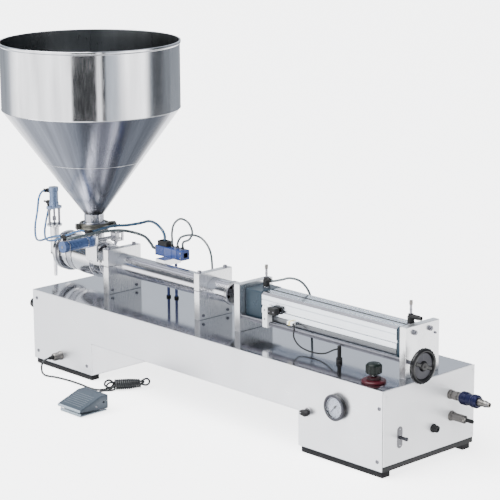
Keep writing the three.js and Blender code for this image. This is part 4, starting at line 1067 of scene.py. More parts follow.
def make_stroke_adjustment():
    bar = threaded_bar(-611.5, -54.5, 6.2, 4.0, 1.2, DARK_STEEL)
    ends = rod(DARK_STEEL, 4.9, (-636, SCREW_Y, SCREW_Z), (4.7, SCREW_Y, SCREW_Z), 0.3)
    piece("lead_screw_bar", "screw", [bar, ends], ["lead_screw"])
    back = 5.0
    rim = [
        (31.5, 2.4), (34, 0.6), (38, 0), (41.5, 1.2), (43.2, 4), (43.5, 6.5), (43.2, 9), (41.5, 11.8), (38, 13),
        (35, 12.6), (32.6, 10.6), (31.5, 8.6), (31.5, 2.4)]
    wheel = lathe(rim, BLACK_GLOSS, (back, SCREW_Y, SCREW_Z), X, 128, 0.8)
    web = lathe([(0, 2.2), (32, 2.2), (32, 7.4), (0, 7.4)], GREY_FACE, (back, SCREW_Y, SCREW_Z), X, 96, 0.4)
    hub = lathe(
        [(0, 0.4), (12, 0.4), (13, 2), (13, 9), (10, 13), (0, 13)], BLACK_GLOSS, (back, SCREW_Y, SCREW_Z), X,
        72, 1.2)
    spoke = block(-31, 31, -4.6, 4.6, 6, 10.8, BLACK_GLOSS, 1.6)
    spoke.data.transform(
        Matrix.Translation((back, SCREW_Y, SCREW_Z)) @ Matrix.Rotation(math.radians(68), 4, "X")
        @ Matrix.Rotation(math.radians(90), 4, "Y"))
    grips = []
    for y, z in circle_spots(24, 42.9):
        spot = Vector((back + 6.5, SCREW_Y + y, SCREW_Z + z))
        grips.append(rod(BLACK_GLOSS, 1.1, spot - X * 4, spot + X * 4, 0.5, 12))
    wheel_screw = cap_screw(SCREW_STEEL, 3.2, (back + 12.6, SCREW_Y, SCREW_Z), X, 0.4)
    piece(
        "handwheel_moulded", "screw", [wheel, web, hub, spoke, *grips, wheel_screw],
        ["handwheel"])

    low = block(-526, -508, SCREW_Y - 12, SCREW_Y + 7, SCREW_Z - 9, SCREW_Z + 47, WHITE, 1.4)
    low = carve(low, bore_tool(6.4, -530, -500, SCREW_Y, SCREW_Z))
    head = block(-509, -482, SCREW_Y - 10, SCREW_Y + 6.5, SCREW_Z + 27, SCREW_Z + 46, BLACK_MATT, 1.6)
    screws = [cap_screw(SCREW_STEEL, 2.4, (-517, SCREW_Y - 12, SCREW_Z + dz), -Y, 1.0) for dz in (14, 38)]
    screws += [cap_screw(SCREW_STEEL, 2.0, (x, SCREW_Y - 10, SCREW_Z + 36), -Y, 0.9) for x in (-503, -488)]
    piece("stop_block_moulded", "stop", [low, head, *screws], ["stroke_block"])


def make_sensor():
    route = [
        (-425, 122, 257), (-412, 112, 250), (-403, 102, 232), (-380, 98, 215), (-335, 97, 208), (-292, 99, 213),
        (-262, 102, 228), (-246, 104, 234)]
    wire = tube(curve_points(route, 10), 2, BLACK_MATT, 16)
    reed = block(-446, -424, 119, 130, 252, 262, WHITE, 1.4)
    stripe = block(-440, -434, 118.8, 130, 251.8, 262.2, YELLOW, 0.6)
    sleeve = rod(BLACK_MATT, 2.8, (-426, 122, 257), (-419, 117.5, 254), 0.6)
    post = lathe(
        [(0, DECK), (8, DECK), (8, DECK + 5), (6.2, DECK + 6), (5, DECK + 8), (5, 240), (3.5, 242), (0, 242)],
        BLACK_MATT, (-246, 104, 0), Z, 48, 0.6)
    nut = hexagon(BLACK_GLOSS, 14, (-246, 104, DECK + 5), (-246, 104, DECK + 11))
    piece("sensor_lead", "frame", [wire, reed, stripe, sleeve, post, nut], ["sensor_cable"])


# ---- air lines -----------------------------------------------------------------------------------
LOOP_PORTS = (-990.0, -968.0, -947.0)
BLOCK_LEFT, BLOCK_RIGHT = -1047.0, -935.0
BLOCK_FRONT, BLOCK_BACK = 198.0, 228.0
BLOCK_LOW, BLOCK_TOP = 318.0, 346.0


def make_manifold():
    left, right, front = BLOCK_LEFT, BLOCK_RIGHT, BLOCK_FRONT
    back, low, top = BLOCK_BACK, BLOCK_LOW, BLOCK_TOP
    body = block(left, right, front, back, low, top, BLUE_BLOCK, 2.0, 4)
    grooves = [
        block(x, x + 1.2, front - 1, front + 0.8, low + 1, top - 1, BORE, 0) for x in (-1010, -978, -957)]
    body = carve(body, *grooves)
    coil = block(left + 8, left + 46, front + 3, back - 3, top - 1, top + 14, BLACK_MATT, 1.6)
    lid = block(left + 12, left + 34, front + 6, back - 6, top + 13.4, top + 14, BLUE_BLOCK, 0.2)
    saddle = block(left + 38, left + 76, AXIS_Y, back, AXIS_Z + 24, low + 1, PLATE, 1.0)
    saddle = carve(saddle, bore_tool(30.3, left, right))
    parts = [body, coil, lid, saddle]
    middle_y, middle_z = (front + back) / 2, (low + top) / 2
    parts += push_fitting((left + 1, middle_y, middle_z), -X, 15, 5.9)
    for x in LOOP_PORTS:
        parts.append(hexagon(SILVER, 8.6, (x, 213, top - 0.5), (x, 213, top + 2.5), 0.4))
        parts += push_fitting((x, 213, top + 2), Z, 6, 4.4)
    parts += push_fitting((-1021, 213, top + 10), Z, 4, 4.9)
    for x, y in ((-1012, 216), (-986, 222)):
        parts.append(tube([(x, y, DECK), (x, y, low + 1)], 4, HOSE_NAVY, 28))
        parts.append(ring(BLACK_MATT, 4, 6.5, (x, y, DECK), (x, y, DECK + 5)))
    for x in (left + 5, right - 5):
        parts.append(cap_screw(SCREW_STEEL, 2.6, (x, front, low + 7), -Y, 1.2))
        parts.append(cap_screw(SCREW_STEEL, 2.6, (x, front, top - 7), -Y, 1.2))
    parts.append(block(right - 0.5, right, front + 8, back - 8, low + 7, top - 7, BLACK_MATT, 0.2))
    piece("manifold_block", "frame", parts, ["valve_manifold"])


def make_hoses():
    x = LEVER_X
    front_port, back_port = 12.0, 97.0
    fit_x = NOZZLE_X - 26
    block_y, block_z = (BLOCK_FRONT + BLOCK_BACK) / 2, (BLOCK_LOW + BLOCK_TOP) / 2
    top = BLOCK_TOP + 8.3
    tall_start, low_start, tall_end = LOOP_PORTS
    routes = {
        "hose_actuator_back": (4, HOSE_TEAL, "hose_teal", [
            (x, back_port + 13.3, FITTING_Z), (x, 120, FITTING_Z), (x, 150, 373), (x, 190, 374),
            (-1198, 222, 373), (-1160, 238, 382), (-1105, 230, 398), (-1055, 216, 398), (-1028, 213, 384),
            (-1021, 213, 371), (-1021, 213, 366), (-1021, 213, BLOCK_TOP + 14.3)]),
        "hose_actuator_front": (4, HOSE_GREY, "hose_grey", [
            (x + 14.3, front_port, FITTING_Z), (-1193, front_port, FITTING_Z), (-1184, 22, 371),
            (-1180, 50, 373), (-1180, 120, 373), (-1181, 190, 366), (-1166, 226, 356), (-1125, 230, 350),
            (-1088, 220, 338), (-1070, block_y, block_z), (BLOCK_LEFT - 14.3, block_y, block_z)]),
        "hose_nozzle_upper": (3, HOSE_BLUE, "hose_blue", [
            (fit_x, AXIS_Y - 13.3, AXIS_Z + 161), (fit_x, 147, AXIS_Z + 161), (-1482, 134, 427),
            (-1472, 118, 388), (-1450, 92, 352), (-1400, 56, 332), (-1340, 24, 338), (-1280, 12, 358),
            (-1245, front_port, 368), (-1234, front_port, FITTING_Z), (x - 14.3, front_port, FITTING_Z)]),
        "hose_nozzle_lower": (3, HOSE_BLUE, "hose_blue", [
            (fit_x, AXIS_Y, AXIS_Z + 112.7), (fit_x, AXIS_Y, 386), (-1482, 162, 372), (-1470, 146, 352),
            (-1440, 118, 330), (-1395, 90, 320), (-1340, 78, 330), (-1290, 84, 352), (-1255, 95, 367),
            (-1240, back_port, FITTING_Z), (x - 14.3, back_port, FITTING_Z)]),
        "hose_loop_tall": (3, HOSE_GREY, "hose_grey", [
            (tall_start, 213, top), (tall_start, 213, 362), (-991, 213, 385), (-982, 213, 412),
            (-955, 214, 431), (-922, 214, 424), (-908, 214, 400), (-922, 214, 378), (-942, 213, 369),
            (tall_end, 213, 362), (tall_end, 213, top)]),
        "hose_loop_low": (3, HOSE_GREY, "hose_grey", [
            (low_start, 213, top), (low_start, 213, 360), (-962, 218, 376), (-930, 226, 388), (-885, 227, 386),
            (-848, 224, 358), (-835, 220, 310), (-834, 220, 255), (-834, 220, DECK)]),
        "hose_cylinder_front": (3, HOSE_GREY, "hose_grey", [
            (-551.7, AXIS_Y, AXIS_Z + 60), (-545, AXIS_Y, AXIS_Z + 60), (-520, 174, 346), (-500, 184, 352),
            (-478, 200, 345), (-464, 216, 318), (-460, 224, 278), (-460, 224, DECK)]),
    }
    for name, (radius, material, slot, points) in routes.items():
        parts = [tube(curve_points(points, 12), radius, material, 24)]
        end = Vector(points[-1])
        if end.z < DECK + 1:
            parts.append(ring(BLACK_MATT, radius, radius + 2.5, end, end + Z * 5))
        piece(name + "_line", "frame", parts, [name])


# ---- controls ------------------------------------------------------------------------------------
STOP_X, STOP_Y = -75.0, 45.0


def make_stop_button():
    base = Vector((STOP_X, STOP_Y, DECK))
    collar = lathe(
        [(7.3, 1), (7.3, 13), (15, 13), (16, 12), (16, 6), (27.5, 6), (30, 3.5), (30, 0), (0, 0), (0, 1),
         (7.3, 1)],
        RED, base, Z, 128, 0.8)
    knurl = []
    for x, y in circle_spots(30, 16.2):
        spot = base + Vector((x, y, 6.5))
        knurl.append(rod(BLACK_MATT, 0.9, spot, spot + Z * 5.6, 0.3, 10))
    nut = ring(BLACK_MATT, 7.4, 15.9, base + Z * 7, base + Z * 12.6, 0.5)
    piece("stop_ring", "frame", [collar, nut, *knurl], ["estop_base"])
    stem = lathe([(0, 7), (7, 7), (7, 25.5), (0, 25.5)], BLACK_GLOSS, base, Z, 72, 0.5)
    band = ring(SILVER, 6.4, 7.0, base + Z * 15, base + Z * 16.6, 0.2)
    piece("stop_stem", "stop_button_stem", [stem, band], ["estop_stem"])
    head = [
        (0, 26), (7.3, 26), (7.5, 20.8), (14, 20.6), (17.6, 21.4), (18.6, 24), (18.8, 38), (18.4, 42.5),
        (16, 45.6), (11.5, 47.2), (6, 47.8), (0, 48)]
    cap = lathe(head, MUSHROOM, base, Z, 128, 0.9)
    grips = []
    for x, y in circle_spots(14, 18.4):
        spot = base + Vector((x, y, 22.5))
        grips.append(rod(MUSHROOM, 1.7, spot, spot + Z * 19.5, 0.8, 16))
    piece("stop_mushroom", "stop_button_head", [cap, *grips], ["estop_head"])


def dial_text(words, height, centre):
    """A number printed on the dial, facing -y."""
    curve = bpy.data.curves.new("figure", "FONT")
    curve.body = words
    curve.size = height
    curve.align_x = curve.align_y = "CENTER"
    curve.extrude = 0.05
    made = new_object("figure", curve)
    mesh = final_mesh(made)
    bpy.data.objects.remove(made)
    mesh.transform(Matrix.Translation(centre) @ Matrix.Rotation(math.radians(90), 4, "X"))
    mesh.materials.clear()
    mesh.materials.append(BLACK_MATT)
    return new_object("figure", mesh)


def make_gauge():
    x, z, face = -152.0, 130.0, -6.0
    start, sweep = 135.0, 270.0
    profile = [
        (0, -0.3), (30, -0.3), (31.5, -3), (33, -6), (33, -12.6), (32, -14), (26.6, -14), (25.8, -13),
        (25.8, -11.6), (28.8, -11.6), (28.8, -6), (0, -6)]
    case = lathe(profile, BLACK_GLOSS, (x, 0, z), Y, 160, 0.5)
    paint(case, GREY_FACE, lambda centre, normal: centre.y < -11.7)
    dial = rod(DIAL, 28.6, (x, face, z), (x, face - 0.5, z), 0.1, 128)
    marks = []
    for k in range(51):
        turn = math.radians(start - sweep * k / 50) + math.pi / 2
        major = k % 5 == 0
        inner, outer, half = (20.0, 25.0, 0.5) if major else (22.8, 25.0, 0.25)
        out = Vector((math.cos(turn), 0, math.sin(turn)))
        across = Vector((-out.z, 0, out.x))
        corners = [
            Vector((x, face - depth, z)) + out * reach + across * side
            for depth in (0.45, 0.62)
            for reach, side in ((inner, -half), (outer, -half), (outer, half), (inner, half))]
        marks.append(mesh_object("mark", corners, BOX_FACES, BLACK_MATT))
        if k % 10 == 0:
            marks.append(dial_text(str(k // 5), 5.0, Vector((x, face - 0.55, z)) + out * 15.4))
    window = lathe(
        [(0, -12.2), (25.6, -12.2), (25.6, -12.9), (18, -13.4), (0, -13.7)], GLASS, (x, 0, z), Y, 128, 0)
    piece("gauge_body", "frame", [case, dial, *marks], ["gauge_case"])
    piece("gauge_window", "frame", [window])
    turn = math.radians(-135)
    hub = rod(BLACK_GLOSS, 3, (0, -9, 0), (0, -6.6, 0), 0.4, 40)
    pointer = slab(
        [(-1.5, -8), (1.5, -8), (1.1, 0), (0.35, 23), (-0.35, 23), (-1.1, 0)], "y", -8.4, -7.8, BLACK_GLOSS,
        0.1)
    for part in (hub, pointer):
        part.data.transform(Matrix.Translation((x, 0, z)) @ Matrix.Rotation(turn, 4, "Y"))
    piece("gauge_pointer", "needle", [hub, pointer], ["gauge_needle"])


def make_selector():
    x, z = -253.0, 93.0
    plate = ring(SILVER, 8.2, 11.5, (x, 0, z), (x, -0.9, z), 0.3)
    base = lathe([(0, -6), (8, -6), (8, -1.2), (0, -1.2)], BLACK_GLOSS, (x, 0, z), Y, 72, 0.6)
    outline = arc((0, 0), 6.6, 70, 110, 4)
    outline += arc((-5.5, 1.2), 6.4, 110, 250, 12)
    outline += arc((5.5, -1.2), 6.4, -70, 70, 12)
    outline = [(x + a, z + b) for a, b in outline]
    grip = slab(outline, "y", -18, -5.5, BLACK_MATT, 1.4)
    mark = block(x - 10.5, x - 5, -18.3, -17.6, z + 0.4, z + 1.8, WHITE, 0.2)
    piece("selector_grip", "selector", [base, grip, mark], ["selector_knob"])
    piece("selector_bezel", "frame", [plate])


def make_toggle():
    y, z = 56.0, 77.0
    plate_ends = arc((y, z + 18), 9.0, 0, 180, 16) + arc((y, z - 18), 9.0, 180, 360, 16)
    plate = slab(plate_ends, "x", 0, 1.0, NAME_PLATE, 0.35)
    plate = carve(plate, rod(BORE, 5.2, (-1, y, z), (3, y, z), 0, 40))
    rivets = [rod(SILVER, 1.5, (0.9, y, z + b), (1.5, y, z + b), 0.3, 24) for b in (-20, 20)]
    piece("toggle_plate", "frame", [plate, *rivets])
    bat = lathe(
        [(0, -2), (4.3, -2), (4.4, 1), (3.9, 3.4), (3.7, 6), (4.2, 15), (4.9, 20), (4.6, 22.5), (2.8, 23.9),
         (0, 24.2)],
        TOGGLE, (1.2, y, z), X, 40, 0.4)
    piece("toggle_bat", "toggle", [bat], ["toggle_lever"])


def make_fuse_holder():
    y, z = 175, 72
    fuse = lathe(
        [(0, 0.3), (11, 0.3), (11, 3), (9, 4), (8.6, 9), (8.4, 15), (6, 16.2), (0, 16.2)], BLACK_GLOSS,
        (0, y, z), X, 72, 0.6)
    fuse = carve(fuse, block(14.6, 18, y - 6, y + 6, z - 0.8, z + 0.8, BORE, 0))
    ribs = []
    for foot, tip in zip(circle_spots(24, 8.8), circle_spots(24, 8.3)):
        ribs.append(
            rod(BLACK_GLOSS, 0.7, (5, y + foot[0], z + foot[1]), (13.5, y + tip[0], z + tip[1]), 0.2, 8))
    piece("fuse_cap", "frame", [fuse, *ribs], ["fuse_holder"])


def make_air_inlet():
    y, z = 235.5, 144
    body = lathe(
        [(0, 0.3), (12, 0.3), (12, 2), (9, 3), (9, 30), (11.4, 31), (11.5, 35), (9.8, 36.2), (9.8, 98),
         (8.5, 99.4), (8.5, 103), (7.6, 104), (7.6, 107), (8.5, 108), (8.5, 112), (6.6, 118), (6, 124),
         (3.5, 124.3), (3.5, 110), (0, 110)], NICKEL, (0, y, z), X, 72, 0.5)
    hexes = [hexagon(NICKEL, 21, (a, y, z), (b, y, z)) for a, b in ((3, 9.5), (15, 27))]
    tip = ring(NAME_PLATE, 3.6, 6.9, (112.5, y, z), (120, y, z), 1.0)
    piece("inlet_nipple", "frame", [body, *hexes, tip], ["inlet_body"])
    profile = [(10.1, 37), (14, 37), (16.5, 41)]
    for k in range(4):
        x = 43.5 + 3.4 * k
        profile += [(16.5, x), (15.4, x + 0.8), (15.4, x + 1.6), (16.5, x + 2.4)]
    profile += [
        (14.5, 58), (14.5, 72), (16.5, 75), (16.5, 79), (15.6, 79.8), (15.6, 80.8), (16.5, 81.6), (16.5, 87),
        (14, 91), (10.1, 91), (10.1, 37)]
    sleeve = lathe(profile, NAVY, (0, y, z), X, 96, 0.35)
    piece("inlet_collar", "sleeve", [sleeve], ["inlet_sleeve"])


def make_side_fitting():
    y, z = 241, 88
    fitting = lathe(
        [(0, 0.3), (13, 0.3), (13, 2), (10, 3.4), (10, 44), (6, 45.4), (5, 48), (5, 50), (0, 50)], NICKEL,
        (0, y, z), X, 72, 0.6)
    stub = lathe([(0, 45), (5.0, 45), (5.0, 68), (3.4, 70.3), (0, 70.3)], BLACK_MATT, (0, y, z), X, 48, 0.6)
    hexes = [hexagon(NICKEL, 22, (2.6, y, z), (8.2, y, z)), hexagon(NICKEL, 18.5, (30, y, z), (40, y, z))]
    piece("drain_fitting", "frame", [fitting, stub, *hexes], ["side_fitting"])


def make_left_plug():
    plug = lathe(
        [(0, -0.3), (17, -0.3), (17, -5), (16, -6), (16, -9), (14, -19), (10.6, -22.6), (7, -24.4), (0, -25.2)],
        BLACK_GLOSS, (-LENGTH, 18, 154), X, 72, 0.8)
    piece("left_plug", "frame", [plug], ["left_end_plug"])


# ---- foot switch ---------------------------------------------------------------------------------
PEDAL_LEFT, PEDAL_RIGHT, PEDAL_FRONT_Y, PEDAL_BACK_Y = -953.0, -858.0, -228.0, -132.0
PEDAL_MIDDLE = (PEDAL_LEFT + PEDAL_RIGHT) / 2


def make_pedal():
    left, right, front, back = PEDAL_LEFT, PEDAL_RIGHT, PEDAL_FRONT_Y, PEDAL_BACK_Y
    pin_y, pin_z, wall, top = back - 16, 12.0, 3.0, 30.0
    # The base plate and its front lip take the pale copy: painted light.
    plate = block(left + 5, right - 5, front + 6, back - 1, FLOOR + 1.2, FLOOR + 5, PEDAL_LIT_FRONT, 1.6)
    lip = block(left + 5, right - 5, front + 6, front + 9, FLOOR + 1.4, FLOOR + 10, PEDAL_LIT_FRONT, 1.2)
    pads = [
        rod(RAIL, 7, (x, y, FLOOR), (x, y, FLOOR + 2), 0.6)
        for x in (left + 18, right - 18) for y in (front + 20, back - 16)]
    hinge_block = block(left + 8, right - 8, pin_y - 8, pin_y + 8, FLOOR + 4, pin_z + 5, DARK_STEEL, 1.0)
    pin = rod(TURNED, 3, (left + 3.6, pin_y, pin_z), (right - 3.6, pin_y, pin_z), 0.5)
    gland = lathe(
        [(0, pin_y + 7), (4.2, pin_y + 7), (4.2, back + 1), (4.0, back + 8), (0, back + 8)], BLACK_MATT,
        (PEDAL_MIDDLE, 0, -6), Y, 48, 0.5)
    rings = [
        ring(BLACK_MATT, 3, 4.2, (PEDAL_MIDDLE, back + a, -6), (PEDAL_MIDDLE, back + a + 1, -6))
        for a in (2, 4.2, 6.4)]
    piece(
        "pedal_bed", "frame", [plate, lip, *pads, hinge_block, pin, gland, *rings],
        ["pedal_base"])

    outline = [
        (front, -2), (back, -8), (back, top), (back - 26, top), (front + 8, 8), (front, 5)]
    inside = [
        (front + wall, -9), (back - wall, -9), (back - wall, top - wall), (back - 26, top - wall),
        (front + 8, 5), (front + wall, 4)]
    cover = slab(outline, "x", left, right, PEDAL, 3.0, 5)
    cover = carve(
        cover,
        slab(inside, "x", left + wall, right - wall, PEDAL, 0),
        rod(BORE, 3.3, (left - 1, pin_y, pin_z), (right + 1, pin_y, pin_z), 0, 32),
        rod(BORE, 6, (PEDAL_MIDDLE, back - 6, -6), (PEDAL_MIDDLE, back + 4, -6), 0, 32),
        block(PEDAL_MIDDLE - 6, PEDAL_MIDDLE + 6, back - 6, back + 4, -20, -6, BORE, 0))
    # The cover's front face takes the pale copy too: painted light.
    paint(cover, PEDAL_LIT_FRONT, lambda centre, normal: centre.y < front + 2 and normal.y < -0.5)
    run = Vector((0, back - 26 - (front + 8), top - 8)).normalized()
    up = Vector((0, -run.z, run.y))
    tread = []
    for k in range(7):
        spot = Vector((0, front + 8, 8)) + run * (7 + 7.6 * k) - up * 0.35
        tread.append(tube([spot + X * (left + 12), spot + X * (right - 12)], 0.7, PEDAL, 12))
    heads = [pan_screw(3.4, (side, back - 40, 4), out) for side, out in ((left, -X), (right, X))]
    piece("pedal_cover", "treadle", [cover, *tread, *heads], ["pedal_treadle"])


# ---- foot switch cord ----------------------------------------------------------------------------
HANK = Vector((-969.0, 24.0, FLOOR))
HANK_TURN = math.radians(57)


def hank_point(along, across, up):
    """A point of the hank, from its own middle at floor level."""
    c, s = math.cos(HANK_TURN), math.sin(HANK_TURN)
    return HANK + Vector((along * c - across * s, along * s + across * c, up))


def hank_path():
    """Three runs folded between an open loop at each end, then turns wound round them from right to left."""
    rear, front, high = (3.2, 13.6), (-3.2, 13.0), (0.0, 19.4)
    arrive = [
        (-60, 2, 3.4), (-51, 8, 3.6), (-42, 10.5, 6.0), (-36, 10.5, 14.5), (-41, 9.4, 23.0), (-50, 8.0, 26.4),
        (-59, 6.6, 21.0), (-59.5, 5.4, 12.4), (-51, 4.2, 7.4), (-40, 3.6, 8.8)]
    right_loop = [
        (38, 3.0, 12), (46, 2.6, 9.4), (54, 2, 8.6), (60.6, 1, 13.6), (61, -0.4, 21.4), (55, -1.6, 27.4),
        (46.5, -2, 26), (39.5, -1.2, 21.6)]
    left_loop = [
        (-38, -0.6, 21.6), (-46, -2.6, 22.4), (-54, -6.2, 19.4), (-56.5, -9.4, 13), (-51, -10.4, 8.4),
        (-43, -8.0, 8.6), (-36, -5.0, 11.0)]
    turn_out = [
        (35, -3.4, 13.4), (42, -2.4, 15.4), (46.6, 2.5, 17.6), (45, 8.6, 16.6), (41, 9.8, 11)]
    path = [hank_point(*spot) for spot in arrive]
    runs = (
        ((-28, -8, 10, 28), rear, right_loop), ((28, 8, -10, -28), high, left_loop),
        ((-26, -8, 10, 26), front, turn_out))
    for places, spot, bend in runs:
        path += [hank_point(along, *spot) for along in places]
        path += [hank_point(*corner) for corner in bend]
    per_turn, pitch, core_up, start, whole_turns = 12, 5.75, 15.0, 36.0, 12
    for k in range(whole_turns * per_turn + 2):
        along = start - pitch * k / per_turn
        grow = min(1.0, max(0.0, (30.0 - along) / 24.0))
        wide, tall = 9.6 + 4.2 * grow, 9.8 + 2.2 * grow
        turn = math.radians(-60) - 2 * math.pi * k / per_turn
        path.append(hank_point(along, wide * math.cos(turn), core_up + tall * math.sin(turn)))
    path += [hank_point(-36, -6.4, 3.3), hank_point(-42, -10.6, 3.3), hank_point(-50, -11.6, 3.35)]
    return path


def make_cord():
    gland_y, gland_x, gland_z = -42.0, -1228.0, 30.0
    connector = (gland_x, 0, gland_z)
    shell = lathe(
        [(0, -0.3), (13, -0.3), (13, -3), (12, -4), (12, -6), (10.5, -7), (10.5, -26), (8.5, -28), (0, -28)],
        NICKEL, connector, Y, 72, 0.6)
    knurl = []
    for x, z in circle_spots(28, 10.4):
        spot = Vector(connector) + Vector((x, 0, z))
        knurl.append(rod(NICKEL, 0.7, spot - Y * 10, spot - Y * 23, 0.2, 8))
    boot = lathe(
        [(0, -26), (6.6, -26), (6.4, -29), (5.6, -29.6), (5.6, -31), (6.0, -31.6), (5.7, -34), (5.1, -34.6),
         (5.1, -36), (5.4, -36.6), (4.6, -39.6), (3.8, -42), (0, -42)], BLACK_MATT, connector, Y, 48, 0.3)
    piece("cord_socket", "frame", [shell, boot, *knurl], ["cord_connector"])
    floor_run = FLOOR + CORD_R + 0.6
    route = [
        (gland_x, gland_y - 0.6, gland_z), (gland_x, -50, 29.6), (-1228.5, -58, 26.5), (-1229.5, -64, 20),
        (-1230, -66.5, 11), (-1229.5, -66.8, 2), (-1227, -66.5, -5.5), (-1220, -64.5, -11),
        (-1208, -61, floor_run), (-1190, -54, floor_run), (-1140, -46, floor_run), (-1085, -45, floor_run),
        (-1040, -48, floor_run), (-1014, -43, floor_run), (-1006.6, -33.8, floor_run)]
    route += hank_path()
    route += [
        (-993.5, -33, floor_run), (-996.8, -41.5, floor_run), (-994.5, -50.5, floor_run),
        (-987, -57.8, floor_run), (-975, -65, floor_run), (-945, -80, floor_run), (-921, -95, floor_run),
        (-912, -101.5, -11.3), (-907, -109, -8.3), (PEDAL_MIDDLE, -116.5, -6.2),
        (PEDAL_MIDDLE, PEDAL_BACK_Y + 8.3, -6)]
    line = curve_points(route, 5)
    strand = tube(line, CORD_R, CORD, 16)
    cord = piece(
        "foot_switch_cord", "frame", [strand],
        ["cord_run_machine", "cord_run_pedal", "cord_hank"])


# ---- camera, light, floor ------------------------------------------------------------------------
def make_camera():
    """The photograph's viewpoint: azimuth, elevation and roll in degrees, and its place in millimetres."""
    azimuth, elevation, roll = math.radians(46.68), math.radians(13.46), math.radians(-0.34)
    place = Vector((2937.8, -3197.7, 1580.7))
    back = Vector((
        math.sin(azimuth) * math.cos(elevation), -math.cos(azimuth) * math.cos(elevation), math.sin(elevation)))
    right = Z.cross(back).normalized()
    up = back.cross(right)
    across = right * math.cos(roll) + up * math.sin(roll)
    upward = up * math.cos(roll) - right * math.sin(roll)
    data = bpy.data.cameras.new("camera")
    data.sensor_width = 36.0
    data.lens = 139.92
    data.clip_end = 50.0
    camera = new_object("camera", data)
    turn = Matrix((across, upward, back)).transposed().to_4x4()
    camera.matrix_world = Matrix.Translation(TO_FRAME @ place) @ turn
    bpy.context.scene.camera = camera


def lamp(data, toward):
    """Puts a light in the scene, turned to shine in a direction."""
    light = new_object(data.name, data)
    light.rotation_mode = "QUATERNION"
    light.rotation_quaternion = Vector(toward).to_track_quat("-Z", "Y")
    return light


def area_light(name, place, target, size, power):
    data = bpy.data.lights.new(name, "AREA")
    data.shape = "RECTANGLE"
    data.size, data.size_y = size
    data.energy = power
    light = lamp(data, Vector(target) - Vector(place))
    light.location = place
    light.visible_glossy = False


def gray_ramp(tree, value, stops):
    """A grey ramp from (place 0 to 1, level) stops, cooler where it is dim."""
    made = tree.nodes.new("ShaderNodeValToRGB")
    while len(made.color_ramp.elements) < len(stops):
        made.color_ramp.elements.new(0.5)
    for element, (place, level) in zip(made.color_ramp.elements, stops):
        element.position = place
    for element, (place, level) in zip(made.color_ramp.elements, stops):
        cool = 0.08 * max(0.0, min(1.0, 2.0 - level))
        element.color = (level * (1 - cool), level, level * (1 + 1.3 * cool), 1)
    tree.links.new(value, made.inputs["Fac"])
    return made.outputs["Color"]


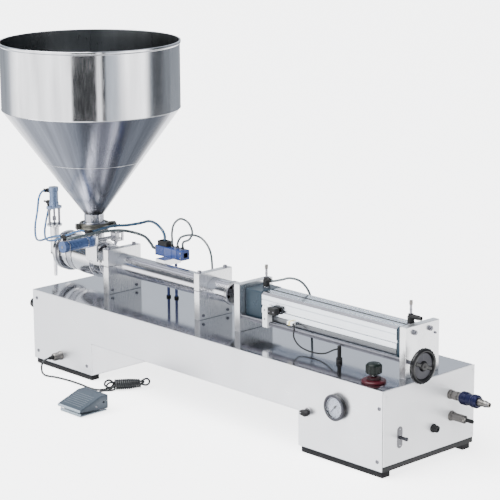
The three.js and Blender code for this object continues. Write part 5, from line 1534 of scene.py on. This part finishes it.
def make_world():
    """A pale studio. Dark flats stand round it, which only reflections see, as in the photograph's steel."""
    world = bpy.data.worlds.new("studio")
    bpy.context.scene.world = world
    world.use_nodes = True
    tree = world.node_tree
    tree.nodes.clear()
    coord = tree.nodes.new("ShaderNodeTexCoord")
    split = tree.nodes.new("ShaderNodeSeparateXYZ")
    tree.links.new(coord.outputs["Generated"], split.inputs["Vector"])
    angle = math_node(tree, "ARCTAN2", split.outputs["Y"], split.outputs["X"])
    around = math_node(tree, "ADD", math_node(tree, "DIVIDE", angle, 2 * math.pi), 0.5)
    walls = [
        (-180, 0.55), (-166, 0.8), (-146, WHITE_LEVEL), (-64, WHITE_LEVEL), (-62, 0.03), (-32, 0.028),
        (-30.5, 2.0), (-26, 2.2), (-24.3, 0.04), (-20.5, 0.04), (-18.5, 0.9), (-6, 1.1), (7, WHITE_LEVEL),
        (34, WHITE_LEVEL), (43, 0.45), (48, 0.15), (61, 0.14), (72, 0.3), (96, 0.4), (136, 0.55), (160, 0.5)]
    upper = [
        (-180, 0.6), (-165, 0.16), (-135, 0.11), (-118, 0.4), (-90, 0.6), (-45, 0.8), (0, 0.6), (60, 0.4),
        (100, 0.5), (120, 1.0), (160, 1.1), (179, 0.6)]
    ground = [(-180, 1.1), (-147, 1.25), (-141, 2.2), (-137, 3.7), (180, 3.7)]
    under = [(-0.38, 1.3), (-0.27, 0.8), (-0.14, 0.22), (0.04, 0.14), (0.2, 0.10), (0.29, 0.25), (0.4, 0.4)]

    def level(stops, value, low, high):
        return gray_ramp(tree, value, [((place - low) / (high - low), shade) for place, shade in stops])

    def rise(start, end):
        return remap(tree, split.outputs["Z"], 0.0, 1.0, start, end)

    shade = mixed(tree, rise(0.0, 0.14), level(walls, around, -180, 180), level(upper, around, -180, 180))
    shade = mixed(tree, rise(0.6, 0.9), shade, ZENITH)
    shade = mixed(tree, rise(-0.19, -0.25), shade, level(ground, around, -180, 180))
    sideways = math_node(
        tree, "ADD", math_node(tree, "MULTIPLY", split.outputs["X"], CAMERA_RIGHT[0]),
        math_node(tree, "MULTIPLY", split.outputs["Y"], CAMERA_RIGHT[1]))
    sideways = math_node(tree, "ADD", sideways, 0.5)
    shade = mixed(tree, rise(-0.42, -0.6), shade, level(under, sideways, -0.5, 0.5))
    path = tree.nodes.new("ShaderNodeLightPath")
    shade = mixed(tree, path.outputs["Is Camera Ray"], shade, (BACKDROP_LEVEL, BACKDROP_LEVEL, BACKDROP_LEVEL))
    sky = tree.nodes.new("ShaderNodeBackground")
    sky.inputs["Strength"].default_value = 1.0
    tree.links.new(shade, sky.inputs["Color"])
    out = tree.nodes.new("ShaderNodeOutputWorld")
    tree.links.new(sky.outputs["Background"], out.inputs["Surface"])


def make_floor():
    material, tree, shader = new_material("studio_floor")
    grain = noise(tree, position(tree), 30.0, 3.0)
    tree.links.new(mixed(tree, grain, (0.93, 0.93, 0.935), (0.95, 0.95, 0.95)), shader.inputs["Base Color"])
    shader.inputs["Roughness"].default_value = 0.75
    shader.inputs["Specular IOR Level"].default_value = 0.2
    shader.inputs["Emission Color"].default_value = (1, 1, 1, 1)
    shader.inputs["Emission Strength"].default_value = FLOOR_GLOW
    reach = 14.0
    points = [(-reach, -reach, 0), (reach, -reach, 0), (reach, reach, 0), (-reach, reach, 0)]
    floor = mesh_object("floor", points, [(0, 1, 2, 3)], material)
    floor.visible_glossy = False
    floor.visible_diffuse = False


def make_sun():
    data = bpy.data.lights.new("soft_key", "SUN")
    data.energy = SUN_POWER
    data.angle = math.radians(SUN_SPREAD)
    lamp(data, SUN_TOWARD)


def make_studio():
    make_camera()
    make_world()
    make_floor()
    make_sun()
    area_light("front", (-1.4, -3.6, 2.0), (-0.1, 0, 0.3), (2.6, 1.5), FRONT_POWER)
    area_light("side", (3.4, -0.8, 1.6), (0.3, 0, 0.2), (1.6, 1.2), SIDE_POWER)


make_studio()
make_cord()
make_housing()
make_rails()
make_face_screws()
make_clamps()
make_cylinder_plates()
make_product_cylinder()
make_valve()
make_rotor()
make_actuator()
make_outlet()
make_nozzle()
make_hopper()
make_neck_clamp()
make_air_cylinder()
make_stroke_adjustment()
make_sensor()
make_manifold()
make_hoses()
make_stop_button()
make_gauge()
make_selector()
make_toggle()
make_fuse_holder()
make_air_inlet()
make_side_fitting()
make_left_plug()
make_pedal()
